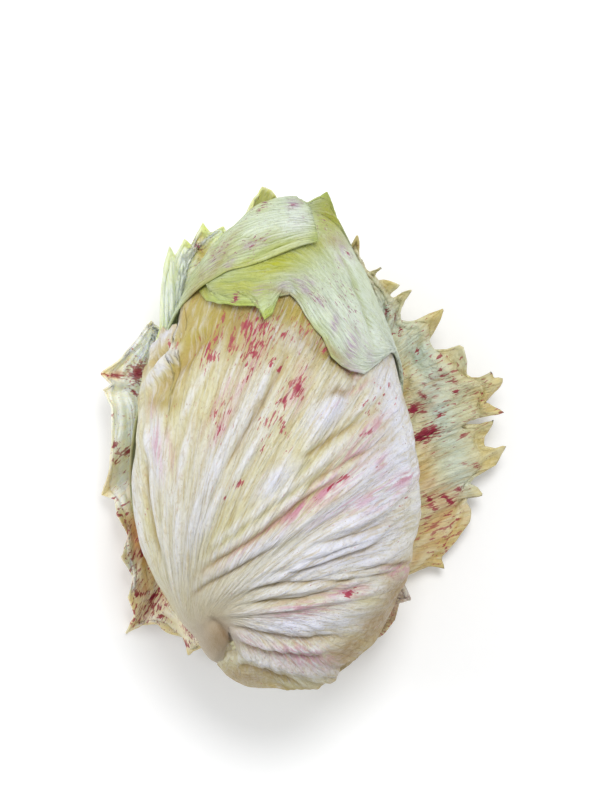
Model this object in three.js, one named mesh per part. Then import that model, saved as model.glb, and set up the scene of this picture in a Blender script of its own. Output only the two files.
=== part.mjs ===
// A head of variegated cream radicchio, lying on its side. Millimetres, +Z up, +Y towards its tip.
// The origin is on the surface that the head lies on, under its middle. Leaves are thin sheets that
// wrap an egg-shaped body in layers, or spread out from under it. All of them grow from the cut stump.
import * as THREE from "three";
import { mergeVertices } from "three/addons/utils/BufferGeometryUtils.js";

// Driving dimensions of the body that the leaves wrap.
const halfWidth = 61.5;
const halfLength = 103;
const halfHeight = 50;
const restFlat = 45.5; // how far below the middle the body is pressed flat where it lies
const undersideStack = 10; // leaves between the body and the surface
const middleHeight = restFlat + undersideStack;
const bulgeToTip = 8; // sideways drift of the body towards both ends
const leafThickness = 1;
const petioleThickness = 2;

// Depth of each layer, measured outwards from the body.
const layers = {
  heart: -18.5,
  inner: [-15.5, -12.2, -8.9],
  backWrap: -5.5,
  underFront: -2.8,
  front: 0,
  shoulder: 3.5,
  ground: 6.5,
  lowest: 9.5,
};

const degrees = THREE.MathUtils.degToRad;
const mix = THREE.MathUtils.lerp;

// The stump leaves the body at the lower left, turned towards the surface.
const stumpAxis = new THREE.Vector3(-0.4, -0.74, -0.54).normalize();
const stumpRadius = 8;
const upFromStump = new THREE.Vector3(0, 0, 1).projectOnPlane(stumpAxis).normalize();
const rightOfStump = new THREE.Vector3().crossVectors(upFromStump, stumpAxis).normalize();

// Width of the body along its length: t runs from -1 at the stump end to 1 at the tip.
const taper = (t) => 0.965 - 0.2 * t - 0.16 * t * t;

// The point of the body in a direction, at a depth outside it.
function onBody(direction, depth) {
  const width = taper(direction.y);
  const height = 0.5 + width / 2;
  const lowest = middleHeight - restFlat - depth;
  return new THREE.Vector3(
    (halfWidth * width + depth) * direction.x + bulgeToTip * direction.y ** 2,
    (halfLength + depth) * direction.y,
    Math.max(middleHeight + (halfHeight * height + depth) * direction.z, lowest),
  );
}

// Wrap angles to a direction. Seen from above, 90 degrees from the middle is the outline of the body.
function facingUp(x, y) {
  const turn = degrees(Math.hypot(x, y));
  const share = turn > 1e-9 ? Math.sin(turn) / Math.hypot(x, y) : 0;
  return new THREE.Vector3(x * share, y * share, Math.cos(turn));
}

// Angles round the stump and away from it, to a direction. 0 round is the top of the head, 90 its right.
function fromStump(round, away) {
  const side = upFromStump
    .clone()
    .multiplyScalar(Math.cos(degrees(round)))
    .addScaledVector(rightOfStump, Math.sin(degrees(round)));
  return stumpAxis
    .clone()
    .multiplyScalar(Math.cos(degrees(away)))
    .addScaledVector(side, Math.sin(degrees(away)));
}

// Height of the underside of the body at a place, at a depth outside it. Outside its outline there is none.
function underside(x, y, depth) {
  const t = THREE.MathUtils.clamp(y / (halfLength + depth), -1, 1);
  const width = taper(t);
  const across = (x - bulgeToTip * t * t) / (halfWidth * width + depth);
  const share = 1 - t * t - across * across;
  if (share <= 0) return Infinity;
  const height = 0.5 + width / 2;
  const lowest = middleHeight - restFlat - depth;
  return Math.max(middleHeight - (halfHeight * height + depth) * Math.sqrt(share), lowest);
}

const asVectors = (list) => list.map((p) => new THREE.Vector3(...p));

// A smooth curve through points, or straight runs between them, as a function from 0 to 1.
function curveThrough(list) {
  const points = asVectors(list);
  if (points.length === 1) return () => points[0].clone();
  const curve = new THREE.CatmullRomCurve3(points, false, "catmullrom", 0.5);
  return (t) => curve.getPoint(t);
}

// Straight runs through every point of a toothed margin, cut into a number of steps.
// A fourth number in a point says which vein it belongs to. Without it the points are spread evenly.
function steppedMargin(list, steps) {
  const points = list.map(([x, y, z]) => new THREE.Vector3(x, y, z));
  const last = list.length - 1;
  const veins = list[last][3] ?? last;
  const stops = list.map((p, i) => Math.round(((p[3] ?? i) / veins) * steps));
  const found = [points[0]];
  for (let run = 0; run < last; run++) {
    const cuts = stops[run + 1] - stops[run];
    for (let cut = 1; cut <= cuts; cut++)
      found.push(points[run].clone().lerp(points[run + 1], cut / cuts));
  }
  return found;
}

// The margin without its teeth, drawn in a little towards the root.
function marginWithoutTeeth(margin, roots, reach) {
  return margin.map((point, k) => {
    const sum = new THREE.Vector3();
    let weight = 0;
    for (let i = Math.max(0, k - reach); i <= Math.min(margin.length - 1, k + reach); i++) {
      const share = reach + 1 - Math.abs(i - k);
      sum.addScaledVector(margin[i], share);
      weight += share;
    }
    return sum.divideScalar(weight).lerp(roots[k], 0.1);
  });
}

// A sheet of leaf as one grid: a column for each vein, from its root to the margin.
// place turns a grid point into a place in space, and thick gives the thickness there.
function leafSheet(columns, place, thick) {
  const rows = columns[0].length;
  const positions = columns.flat().flatMap((p) => place(p).toArray());
  const thicknesses = columns.flat().map((p) => thick(p));
  const index = [];
  for (let i = 0; i + 1 < columns.length; i++)
    for (let j = 0; j + 1 < rows; j++) {
      const [a, b] = [i * rows + j, (i + 1) * rows + j];
      index.push(a, b, b + 1, a, b + 1, a + 1);
    }
  const sheet = new THREE.BufferGeometry();
  sheet.setAttribute("position", new THREE.Float32BufferAttribute(positions, 3));
  sheet.setAttribute("thickness", new THREE.Float32BufferAttribute(thicknesses, 1));
  sheet.setIndex(index);
  return mergeVertices(sheet, 1e-3);
}

// Gives a sheet its two faces, split alike, and closes its open edges.
function thicken(sheet) {
  sheet.computeVertexNormals();
  const { position, normal, thickness } = sheet.attributes;
  const index = sheet.index.array;
  const count = position.count;
  const vertices = [];
  for (const side of [0.5, -0.5])
    for (let i = 0; i < count; i++) {
      const point = new THREE.Vector3().fromBufferAttribute(position, i);
      const out = new THREE.Vector3().fromBufferAttribute(normal, i);
      vertices.push(...point.addScaledVector(out, side * thickness.getX(i)).toArray());
    }
  const faces = [];
  const edges = new Map();
  for (let i = 0; i < index.length; i += 3) {
    const [a, b, c] = index.slice(i, i + 3);
    if (a === b || b === c || c === a) continue;
    faces.push(a, b, c, a + count, c + count, b + count);
    for (const [from, to] of [[a, b], [b, c], [c, a]]) {
      if (!edges.delete(`${to},${from}`)) edges.set(`${from},${to}`, [from, to]);
    }
  }
  for (const [from, to] of edges.values())
    faces.push(to, from, from + count, to, from + count, to + count);
  const solid = new THREE.BufferGeometry();
  solid.setAttribute("position", new THREE.Float32BufferAttribute(vertices, 3));
  solid.setIndex(faces);
  return solid;
}

// A leaf whose veins fan out from its root. Its rows of points run across it, from the root to the margin.
function fanLeaf({ rows, toothed = false, direction = facingUp, columns, steps, relief = () => 0 }) {
  const smoothRows = rows.map(curveThrough);
  const margin = toothed && steppedMargin(rows.at(-1), columns);
  const grid = [];
  for (let i = 0; i <= columns; i++) {
    const across = i / columns;
    const vein = smoothRows.map((row) => row(across));
    if (margin) vein[vein.length - 1] = margin[i];
    const along = new THREE.CatmullRomCurve3(vein, false, "catmullrom", 0.5);
    const column = [];
    for (let j = 0; j <= steps; j++) {
      const out = j / steps;
      column.push({ at: along.getPoint(out), across, out });
    }
    grid.push(column);
  }
  const place = (p) => onBody(direction(p.at.x, p.at.y), p.at.z + relief(p.across, p.out));
  const thick = (p) => mix(petioleThickness, leafThickness, Math.min(1, 3 * p.out));
  return thicken(leafSheet(grid, place, thick));
}

// A leaf with a rib and two margins, all in plan with heights, that lies under the body and spreads out.
// Its side veins stand up as low ridges.
function spreadLeaf({ rib, left, right, layer, columns, steps, sideVeins, ridge = 1, arch = 0 }) {
  const ribCurve = curveThrough(rib);
  const grid = [];
  const addSide = (margin, upwards) => {
    const roots = margin.map((_, k) => ribCurve(upwards ? k / columns : 1 - k / columns));
    const smooth = marginWithoutTeeth(margin, roots, 3);
    margin.forEach((edge, k) => {
      if (!upwards && k === 0) return;
      const wave = 0.5 - 0.5 * Math.cos((2 * Math.PI * sideVeins * k) / columns);
      const column = [{ at: roots[k], out: 0 }];
      for (let j = 1; j < steps; j++) {
        const out = j / (steps - 1);
        const at = roots[k].clone().lerp(smooth[k], out);
        at.z += arch * 4 * out * (1 - out) + ridge * wave * Math.sin(Math.PI * out * 0.8);
        column.push({ at, out });
      }
      column.push({ at: edge, out: 1 });
      grid.push(column);
    });
  };
  addSide(steppedMargin(left, columns), true);
  addSide(steppedMargin(right, columns).reverse(), false);
  const place = ({ at }) => new THREE.Vector3(at.x, at.y, Math.min(at.z, underside(at.x, at.y, layer)));
  const thick = (p) => mix(1.6, leafThickness, Math.min(1, 2 * p.out));
  return thicken(leafSheet(grid, place, thick));
}

// Colours of the leaves, as sRGB.
const ivory = 0xe9e2cd;
const paleGreen = 0xdde0b4;
const yellowGreen = 0xd2d08a;
const strawYellow = 0xdccb93;
const stumpWhite = 0xe8dcc4;

const object = new THREE.Group();

function add(name, geometry, colour) {
  const material = new THREE.MeshStandardMaterial({ color: colour, roughness: 0.5, metalness: 0 });
  const mesh = new THREE.Mesh(geometry, material);
  mesh.name = name;
  object.add(mesh);
}

// The heart: small leaves folded tightly together, with the edges of the outer ones standing out in a spiral.
function heart() {
  const edgeHeight = 1.6;
  const leavesRound = 5;
  const twist = 1.2;
  const ball = new THREE.SphereGeometry(1, 26, 16);
  ball.deleteAttribute("normal");
  ball.deleteAttribute("uv");
  const closed = mergeVertices(ball, 1e-4);
  const { position } = closed.attributes;
  for (let i = 0; i < position.count; i++) {
    const direction = new THREE.Vector3().fromBufferAttribute(position, i);
    const round = Math.atan2(direction.z, direction.x) / (2 * Math.PI);
    const turns = (round + 1) * leavesRound + twist * direction.y;
    const edge = edgeHeight * (turns - Math.floor(turns)) * (1 - direction.y ** 4);
    const point = onBody(direction, layers.heart - edgeHeight + edge);
    position.setXYZ(i, ...point.toArray());
  }
  return closed;
}

// The cut stump: a short round stem that widens at the cut, with the scars of lost leaves round it.
function stump() {
  const inner = onBody(stumpAxis, layers.heart + 1);
  const outer = onBody(stumpAxis, 7);
  const length = inner.distanceTo(outer);
  const profile = [
    [0, 0],
    [stumpRadius - 1.5, 0],
    [stumpRadius - 0.5, length * 0.3],
    [stumpRadius, length * 0.6],
    [stumpRadius + 0.8, length * 0.8],
    [stumpRadius + 0.2, length * 0.87],
    [stumpRadius + 0.7, length - 1],
    [stumpRadius - 0.3, length],
    [0, length - 0.8],
  ].map(([r, y]) => new THREE.Vector2(r, y));
  const lathe = new THREE.LatheGeometry(profile, 20);
  const outwards = outer.clone().sub(inner).normalize();
  lathe.applyQuaternion(new THREE.Quaternion().setFromUnitVectors(new THREE.Vector3(0, 1, 0), outwards));
  return lathe.translate(...inner.toArray());
}

// A leaf of the tight inner head, its middle at an angle round the stump.
function innerLeaf(middle, halfSpan, tip, depth) {
  const across = [-1, -0.5, 0, 0.5, 1];
  const row = (span, away, drop) => across.map((s) => [middle + s * span, away - drop * s * s, depth]);
  return fanLeaf({
    direction: fromStump,
    columns: 12,
    steps: 10,
    rows: [
      row(halfSpan, 13, 0),
      row(halfSpan, tip * 0.4, 10),
      row(halfSpan, tip * 0.75, 18),
      row(halfSpan * 0.9, tip, 26),
    ],
  });
}

// The wrapper under the left of the head. Its rounded tip stands out beyond the top of the head.
function backWrapLeftLeaf() {
  const depth = layers.backWrap;
  const rounds = [-180, -154, -126, -100, -74];
  return fanLeaf({
    direction: fromStump,
    columns: 14,
    steps: 10,
    toothed: true,
    rows: [
      rounds.map((round) => [round, 13, depth]),
      rounds.map((round) => [round, 50, depth]),
      rounds.map((round) => [round, 88, depth]),
      [
        [-178, 96, depth], [-160, 108, depth], [-144, 117, depth], [-136, 124, 2], [-129, 128, 9],
        [-122, 127, 13.5], [-116, 123, 9], [-112, 117, 0], [-104, 110, depth], [-90, 102, depth],
        [-74, 96, depth],
      ],
    ],
  });
}

// The big leaf over the top of the head. Its pleats fan out from the neck of its petiole, at the lower left.
function frontLeaf() {
  const pleats = 13;
  const pleatHeight = 1.6;
  const relief = (across, out) => {
    const wave = pleats * across + 0.35 * Math.sin(9 * across);
    const fade = Math.sin(Math.PI * Math.min(1, out * 1.05)) ** 0.6;
    return pleatHeight * fade * (0.5 - 0.5 * Math.cos(2 * Math.PI * wave));
  };
  return fanLeaf({
    columns: 56,
    steps: 9,
    toothed: true,
    relief,
    rows: [
      [[-68, -90, 0], [-63, -89, 0], [-58, -90, 0], [-53, -92, 0], [-48, -95, 0]],
      [[-52, -71, 0], [-46, -70, 0], [-40, -68, 0], [-34, -62, 0], [-29, -56, 0]],
      [[-44, -56, 0], [-38, -49, 0], [-32, -46, 0], [-27, -46, 0], [-25, -50, 0]],
      [
        [-84, -26, 0], [-64, -10, 0], [-46, -5, 0], [-30, -3, 0], [-17, -1, 0], [-4, -4, 0], [10, -7, 0],
        [22, -13, 0], [26, -22, 0], [22, -33, 0], [12, -42, 0], [3, -50, 0], [-5, -57, 0], [-15, -62, 0],
        [-27, -59, 0],
      ],
      [
        [-93, -8, 0, 0], [-91, 8, 2, 0.5], [-88, 20, 5, 1], [-85, 31, 5.5, 1.3], [-80, 39, 5, 1.6],
        [-70, 38, 4.5, 2], [-50, 34, 2.5, 2.5], [-63, 48, 4.5, 2.75], [-44, 45, 0.5, 3], [-13, 46, 0, 4],
        [22, 42, 0, 5], [61, 38, 0, 6], [104, 12, 0, 7], [114, -16, 0, 8], [84, -39, 0, 9],
        [55, -46, 0, 10], [38, -57, 0, 10.6], [24, -65, 0, 11], [23, -74, 0, 11.5], [15, -80, 0, 12],
        [-4, -77, 1, 13], [-15, -79, 2, 13.2], [-27, -85, 3, 13.5], [-38, -82, 3, 13.75], [-42, -77, 2, 14],
      ],
    ],
  });
}

// The leaf over the right shoulder. It comes up the right flank, and its tip is the top of the head.
function shoulderLeaf() {
  const depth = layers.shoulder;
  return fanLeaf({
    columns: 32,
    steps: 14,
    toothed: true,
    rows: [
      [[-44, -100, 2.5], [-32, -112, depth], [-30, -128, depth]],
      [[26, -110, 2.5], [20, -128, depth], [4, -146, depth]],
      [[80, -77, depth], [94, -96, depth], [94, -118, depth]],
      [[108, -20, depth], [126, -28, depth], [146, -36, depth]],
      [[98, 14, depth], [104, 22, depth], [112, 32, depth], [126, 42, depth]],
      [
        [80, 28, depth], [60, 32, depth], [40, 46, 2.8], [26, 60, 2.6], [34, 72, 3], [66, 78, 4],
        [100, 72, 4],
      ],
      [
        [68, 33, depth], [50, 23, depth], [35, 20, depth], [25, 23, depth], [17, 30, depth], [10, 36, depth],
        [4, 39, depth], [-2, 38, 4], [-7, 32, 4.6], [-12, 35, 4.8], [-23, 36, 4.8], [-33, 38, 4.6],
        [-40, 42, 4], [-44, 48, depth], [-38, 66, depth], [-10, 76, 4], [12, 80, 5], [22, 86, 9],
        [26, 86, 12.5], [33, 84, 9], [38, 84, 6], [54, 84, 5],
      ],
    ],
  });
}

// The leaf whose tip is folded over the top of the head. It comes up the left flank from underneath.
function crownLeaf() {
  const depth = layers.shoulder;
  return fanLeaf({
    columns: 16,
    steps: 14,
    rows: [
      [[-84, -106, depth], [-86, -96, depth], [-80, -86, depth]],
      [[-134, -62, depth], [-116, -58, depth], [-98, -51, depth]],
      [[-150, 6, depth], [-124, 8, depth], [-100, 8, depth]],
      [[-120, 74, depth], [-108, 60, depth], [-94, 47, 4]],
      [[-60, 85, 4], [-54, 72, 6.5], [-47, 58, 8], [-38, 46, 7.5]],
      [[-30, 81, 6.5], [-25, 72, 9], [-20, 60, 9.5], [-12, 47, 8]],
      [[3, 76, 7], [11, 70, 7.5], [15, 62, 8], [18, 55, 8]],
    ],
  });
}

// The wrapper under the big front leaf at the left, whose edge shows along the left outline.
function leftWrapLeaf() {
  const depth = layers.underFront;
  return fanLeaf({
    columns: 14,
    steps: 8,
    rows: [
      [[-84, -90, depth], [-73, -88, depth], [-64, -86, depth]],
      [[-86, -44, -1.5], [-72, -36, depth], [-50, -30, depth]],
      [[-96, -14, -1], [-78, 0, depth], [-50, 6, depth]],
      [[-100, 22, depth], [-76, 34, depth], [-46, 38, depth]],
    ],
  });
}

// The wrapper under the lower lobe of the front leaf, whose crumpled edge shows at the bottom.
function lowerWrapLeaf() {
  const depth = layers.underFront;
  return fanLeaf({
    columns: 22,
    steps: 6,
    rows: [
      [[-47, -99, depth], [-38, -102, depth], [-33, -108, depth]],
      [[-31, -60, depth], [0, -72, depth], [14, -94, depth]],
      [[20, -40, depth], [34, -60, depth], [40, -84, depth]],
      [[50, -26, depth], [59, -46, depth], [56, -72, depth], [40, -96, depth]],
    ],
  });
}

// The outer leaf that spreads out to the right, with long curved teeth.
const rightOuterLeaf = () =>
  spreadLeaf({
    layer: layers.lowest,
    columns: 42,
    steps: 6,
    sideVeins: 10,
    ridge: 1.2,
    arch: 2,
    rib: [[-12, -80, 60], [14, -36, 30], [33, 8, 16], [42, 46, 22], [38, 80, 30]],
    left: [[-20, -70, 60], [-12, -35, 20], [-10, 0, 20], [4, 40, 20], [24, 78, 26], [34, 90, 32]],
    right: [
      [-2, -86, 60], [14, -81, 60], [30, -72, 12], [58, -50, 6], [70, -52, 3], [74, -48, 6],
      [78, -42, 9], [85, -30, 8], [84, -24, 12], [91, -18, 9], [88, -12, 14], [97, -8, 12],
      [100, -1, 10], [92, 4, 16], [99, 12, 16], [94, 12, 19], [100, 17, 15], [93, 23, 20], [101, 29, 20],
      [95, 30, 24], [86, 32, 22], [82, 44, 24], [68, 49, 20], [73, 60, 27], [56, 55, 22], [60, 69, 29],
      [49, 63, 24], [53, 72, 31], [46, 71, 26], [46, 79, 32], [38, 78, 30], [36, 91, 38], [34, 90, 32],
    ],
  });

// The outer leaf along the left, crumpled, with its ragged edge turned up.
const leftOuterLeaf = () =>
  spreadLeaf({
    layer: layers.lowest,
    columns: 34,
    steps: 5,
    sideVeins: 9,
    ridge: 1.5,
    rib: [[-38, -73, 60], [-44, -50, 14], [-47, -10, 12], [-50, 20, 14], [-54, 42, 20]],
    left: [
      [-31, -86, 9], [-36, -88, 8], [-38, -90, 5], [-40, -82, 8], [-47, -80, 8], [-52, -76, 14],
      [-58, -77, 4], [-66, -81, 3], [-61, -74, 12], [-64, -64, 22], [-62, -56, 12], [-67, -47, 24],
      [-64, -38, 14], [-68, -28, 26], [-68, -22, 16], [-76, -20, 9], [-73, -15, 20], [-69, -8, 30],
      [-67, 4, 34], [-68, 20, 34], [-74, 26, 20], [-68, 28, 32], [-75, 33, 30], [-67, 38, 34],
      [-60, 48, 30], [-54, 56, 26],
    ],
    right: [[-34, -68, 60], [-31, -50, 14], [-30, -15, 12], [-34, 15, 14], [-42, 44, 20], [-54, 56, 26]],
  });

// The outer leaf behind the upper left of the head, standing away from it.
const backLeftLeaf = () =>
  spreadLeaf({
    layer: layers.ground,
    columns: 26,
    steps: 5,
    sideVeins: 6,
    rib: [[-36, -66, 60], [-34, -30, 30], [-40, 20, 30], [-42, 58, 40], [-40, 84, 52]],
    left: [
      [-43, -66, 60], [-50, -40, 34], [-56, 0, 30], [-54, 40, 34], [-50, 52, 42], [-49, 70, 46],
      [-48, 80, 50], [-45.5, 88, 54], [-43, 83, 50], [-39, 91, 56], [-36, 88, 52], [-31, 98, 58],
      [-28, 93, 54], [-22, 96, 54],
    ],
    right: [[-28, -62, 60], [-18, -30, 30], [-18, 20, 30], [-20, 60, 36], [-16, 84, 46], [-22, 96, 54]],
  });

// The bruised leaf that shows under the lower right of the head.
const underLeaf = () =>
  spreadLeaf({
    layer: layers.ground,
    columns: 20,
    steps: 5,
    sideVeins: 6,
    rib: [[-10, -86, 60], [8, -76, 30], [24, -66, 26], [38, -56, 30], [48, -46, 34]],
    left: [[-14, -78, 60], [2, -62, 30], [16, -50, 26], [30, -38, 30], [44, -32, 34], [54, -36, 38]],
    right: [
      [-4, -92, 60], [14, -91, 30], [26, -90, 26], [36, -87, 26], [47, -80, 26], [52, -74, 30], [54, -66, 32],
      [59, -65, 32], [56, -58, 36], [58, -48, 40], [54, -36, 38],
    ],
  });

add("heart", heart(), paleGreen);
add("stump", stump(), stumpWhite);
const innerMiddles = [20, 215, 110];
layers.inner.forEach((depth, i) =>
  add(`inner_leaf_${i + 1}`, innerLeaf(innerMiddles[i], 82, 166, depth), paleGreen),
);
add("back_wrap_right_leaf", innerLeaf(126, 46, 158, layers.backWrap), ivory);
add("back_wrap_left_leaf", backWrapLeftLeaf(), yellowGreen);
add("left_wrap_leaf", leftWrapLeaf(), ivory);
add("lower_wrap_leaf", lowerWrapLeaf(), strawYellow);
add("front_leaf", frontLeaf(), ivory);
add("shoulder_leaf", shoulderLeaf(), paleGreen);
add("crown_leaf", crownLeaf(), paleGreen);
add("back_left_leaf", backLeftLeaf(), paleGreen);
add("under_leaf", underLeaf(), strawYellow);
add("right_outer_leaf", rightOuterLeaf(), strawYellow);
add("left_outer_leaf", leftOuterLeaf(), strawYellow);

export default object;
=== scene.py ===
import math

import bpy
import numpy as np
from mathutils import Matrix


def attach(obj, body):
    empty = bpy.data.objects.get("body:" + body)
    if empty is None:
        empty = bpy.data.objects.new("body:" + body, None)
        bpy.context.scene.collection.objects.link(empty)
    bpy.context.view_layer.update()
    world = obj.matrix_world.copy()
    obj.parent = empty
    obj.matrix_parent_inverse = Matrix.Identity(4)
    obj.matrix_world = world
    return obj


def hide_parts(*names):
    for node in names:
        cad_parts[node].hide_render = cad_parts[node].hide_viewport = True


# A head of cream radicchio on a white table, seen from straight above.
# Shapes are worked out in millimetres and turned to metres when a mesh gets its points.

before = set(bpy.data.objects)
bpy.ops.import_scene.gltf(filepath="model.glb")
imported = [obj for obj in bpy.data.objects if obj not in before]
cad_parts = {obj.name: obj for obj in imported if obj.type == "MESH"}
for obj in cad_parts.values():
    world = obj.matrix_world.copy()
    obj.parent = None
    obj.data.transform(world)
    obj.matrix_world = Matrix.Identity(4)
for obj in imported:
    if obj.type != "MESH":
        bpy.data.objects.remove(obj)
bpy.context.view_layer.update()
print("frame loaded,", len(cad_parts), "solids")

head = {"halfWidth": 61.5, "halfLength": 103, "halfHeight": 50, "restFlat": 45.5, "middle": 55.5, "bulge": 8}
stumpAxis = np.array([-0.4, -0.74, -0.54])
stumpAxis /= np.linalg.norm(stumpAxis)
upFromStump = np.array([0, 0, 1.0]) - stumpAxis[2] * stumpAxis
upFromStump /= np.linalg.norm(upFromStump)
rightOfStump = np.cross(upFromStump, stumpAxis)


def headWidth(t):
    return 0.965 - 0.2 * t - 0.16 * t * t


# the egg that the leaves wrap: a direction and a depth give a place
def onHead(direction, depth):
    x, y, z = direction
    width = headWidth(y)
    lowest = head["middle"] - head["restFlat"] - depth
    up = head["middle"] + (head["halfHeight"] * (0.5 + width / 2) + depth) * z
    return np.stack([
        (head["halfWidth"] * width + depth) * x + head["bulge"] * y * y,
        (head["halfLength"] + depth) * y,
        np.maximum(up, lowest),
    ], axis=1)


# wrap angles from the top of the head, 90 is its outline seen from above
def facingUp(x, y):
    turn = np.hypot(x, y) + 1e-9
    share = np.sin(np.radians(turn)) / turn
    return x * share, y * share, np.cos(np.radians(turn))


# angles round the stump and away from it
def fromStump(around, away):
    a, b = np.radians(around)[:, None], np.radians(away)[:, None]
    side = np.cos(a) * upFromStump + np.sin(a) * rightOfStump
    return tuple((np.cos(b) * stumpAxis + np.sin(b) * side).T)


def undersideOfHead(x, y, depth):
    t = np.clip(y / (head["halfLength"] + depth), -1, 1)
    width = headWidth(t)
    across = (x - head["bulge"] * t * t) / (head["halfWidth"] * width + depth)
    share = 1 - t * t - across * across
    reach = (head["halfHeight"] * (0.5 + width / 2) + depth) * np.sqrt(np.maximum(share, 0))
    lowest = head["middle"] - head["restFlat"] - depth
    return np.where(share > 0, np.maximum(head["middle"] - reach, lowest), 1e3)


# smooth curve through points, t from 0 to 1
def curve(points, t):
    p = np.array(points, float)[:, :3]
    if len(p) == 1:
        return np.repeat(p, len(t), axis=0)
    p = np.vstack([2 * p[0] - p[1], p, 2 * p[-1] - p[-2]])
    return along([row[None, :] for row in p], t)


# the same through rows that already hold a point for each vertex
def along(rows, t):
    runs = len(rows) - 3
    at = np.clip(t, 0, 1) * runs
    run = np.minimum(at.astype(int), runs - 1)
    s = (at - run)[:, None]
    stack = np.stack([np.broadcast_to(r, (len(t), 3)) for r in rows])
    who = np.arange(len(t))
    a, b, c, d = (stack[run + k, who] for k in range(4))
    return 0.5 * (2 * b + (c - a) * s + (2 * a - 5 * b + 4 * c - d) * s ** 2
                  + (3 * b - 3 * c + d - a) * s ** 3)


# straight runs through a toothed margin, a fourth number says which vein a point belongs to
def toothed(points, t):
    last = len(points) - 1
    veins = points[last][3] if len(points[last]) > 3 else last
    stops = [(p[3] if len(p) > 3 else i) / veins for i, p in enumerate(points)]
    return np.stack([np.interp(t, stops, [p[k] for p in points]) for k in range(3)], axis=1)


def ease(t, start, end):
    s = np.clip((t - start) / (end - start), 0, 1)
    return s * s * (3 - 2 * s)


# slow waves in two directions that never quite repeat, between about -1 and 1
def wander(u, v, seed, waves=7):
    rng = np.random.default_rng(seed)
    total = 0
    for _ in range(waves):
        turn, speed, start = rng.uniform(0, 2 * math.pi), rng.uniform(0.5, 1.5), rng.uniform(0, 2 * math.pi)
        total = total + np.sin(2 * math.pi * speed * (u * math.cos(turn) + v * math.sin(turn)) + start)
    return total / math.sqrt(waves)


# fold lines: 0 in the valley, 1 on a narrow crest
def crests(wave, sharpness=1.4):
    return (0.5 - 0.5 * np.cos(2 * math.pi * wave)) ** sharpness


def deselect():
    bpy.ops.object.select_all(action="DESELECT")


def newGrid(name, columns, rows):
    deselect()
    bpy.ops.mesh.primitive_grid_add(x_subdivisions=columns, y_subdivisions=rows, size=1,
                                    location=(0.5, 0.5, 0))
    bpy.ops.object.transform_apply(location=True)
    bpy.context.object.name = name
    return bpy.context.object


def readPoints(obj):
    points = np.zeros(len(obj.data.vertices) * 3)
    obj.data.vertices.foreach_get("co", points)
    return points.reshape(-1, 3)


def setPoints(obj, millimetres):
    obj.data.vertices.foreach_set("co", (millimetres * 0.001).ravel())
    obj.data.update()


def paint(obj, name, values):
    layer = obj.data.attributes.new(name, "FLOAT", "POINT")
    layer.data.foreach_set("value", np.clip(values, 0, 1).astype(np.float32))


# the map in real metres, veins run along its second axis
def scaleMap(obj, width, length, veinsAcross):
    layer = obj.data.uv_layers[0].data
    uv = np.zeros(len(layer) * 2)
    layer.foreach_get("uv", uv)
    uv = uv.reshape(-1, 2) * [width * 0.001, length * 0.001]
    layer.foreach_set("uv", (uv[:, ::-1] if veinsAcross else uv).ravel())


def modify(obj, kind, **settings):
    modifier = obj.modifiers.new(kind.title(), kind)
    for key, value in settings.items():
        setattr(modifier, key, value)
    deselect()
    obj.select_set(True)
    bpy.context.view_layer.objects.active = obj
    bpy.ops.object.modifier_apply(modifier=modifier.name)


# the reference picture: millimetres a pixel, and the pixel that lies over the origin
picture = {"scale": 0.43, "column": 275, "row": 450}


# places measured on the reference picture, in mm
def seen(*spots):
    return [((px - picture["column"]) * picture["scale"], (picture["row"] - py) * picture["scale"])
            for px, py in spots]


# how strongly a vertex takes a mark: its place, half length and half width in mm, turn in degrees, strength
def marks(points, spots):
    amount = np.zeros(len(points))
    for px, py, length, width, turn, strength in spots:
        x, y = seen((px, py))[0]
        c, s = math.cos(math.radians(turn)), math.sin(math.radians(turn))
        dx, dy = points[:, 0] - x, points[:, 1] - y
        a, b = (dx * c + dy * s) / length, (dy * c - dx * s) / width
        amount = np.maximum(amount, strength * np.exp(-(a * a + b * b)))
    return amount


# 0 to 1 along each drawn fold line, fading towards both its ends and to the sides
def folds(points, width, *lines):
    deepest = np.zeros(len(points))
    for line in lines:
        path = np.array(seen(*line))
        lengths = np.hypot(*np.diff(path, axis=0).T)
        passed, nearest, share = 0, np.full(len(points), 1e6), np.zeros(len(points))
        for start, end, length in zip(path[:-1], path[1:], lengths):
            run = np.clip((points[:, :2] - start) @ (end - start) / length ** 2, 0, 1)
            gap = np.hypot(*(points[:, :2] - start - run[:, None] * (end - start)).T)
            share = np.where(gap < nearest, (passed + run * length) / lengths.sum(), share)
            nearest = np.minimum(gap, nearest)
            passed += length
        fade = ease(share, -0.05, 0.2) * (1 - ease(share, 0.75, 1.02))
        deepest = np.maximum(deepest, fade * np.exp(-(nearest / width) ** 2))
    return deepest


# a leaf whose veins fan out from its root, wrapped round the head
def fanLeaf(leaf):
    obj = newGrid(leaf["name"], leaf["columns"], leaf["rows"])
    grid = readPoints(obj)
    across, step = grid[:, 0], grid[:, 1]
    neckRows = 0.16  # the share of the rows that goes to the neck
    out = np.interp(step, [0, neckRows, 1], [0, leaf.get("neck", 0.25), 1])
    veins = [curve(row, across) for row in leaf["shape"]]
    if "margin" in leaf:
        veins[-1] = toothed(leaf["margin"], across)
    veins = [2 * veins[0] - veins[1]] + veins + [2 * veins[-1] - veins[-2]]
    at = along(veins, out)
    edge = ease(out, leaf.get("edgeFrom", 0.82), 1)
    count, height = leaf.get("ruffle", (9, 0.4))
    uneven = 0.6 * wander(across * 4, out, leaf["seed"])
    ruffle = height * edge * np.sin(2 * math.pi * (count * across + uneven))
    direction = leaf.get("direction", facingUp)(at[:, 0], at[:, 1])
    relief, crest = leaf["relief"](across, out, onHead(direction, at[:, 2]))
    points = onHead(direction, at[:, 2] + relief + ruffle)
    finishLeaf(obj, leaf, points, out, crest, edge)


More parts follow.
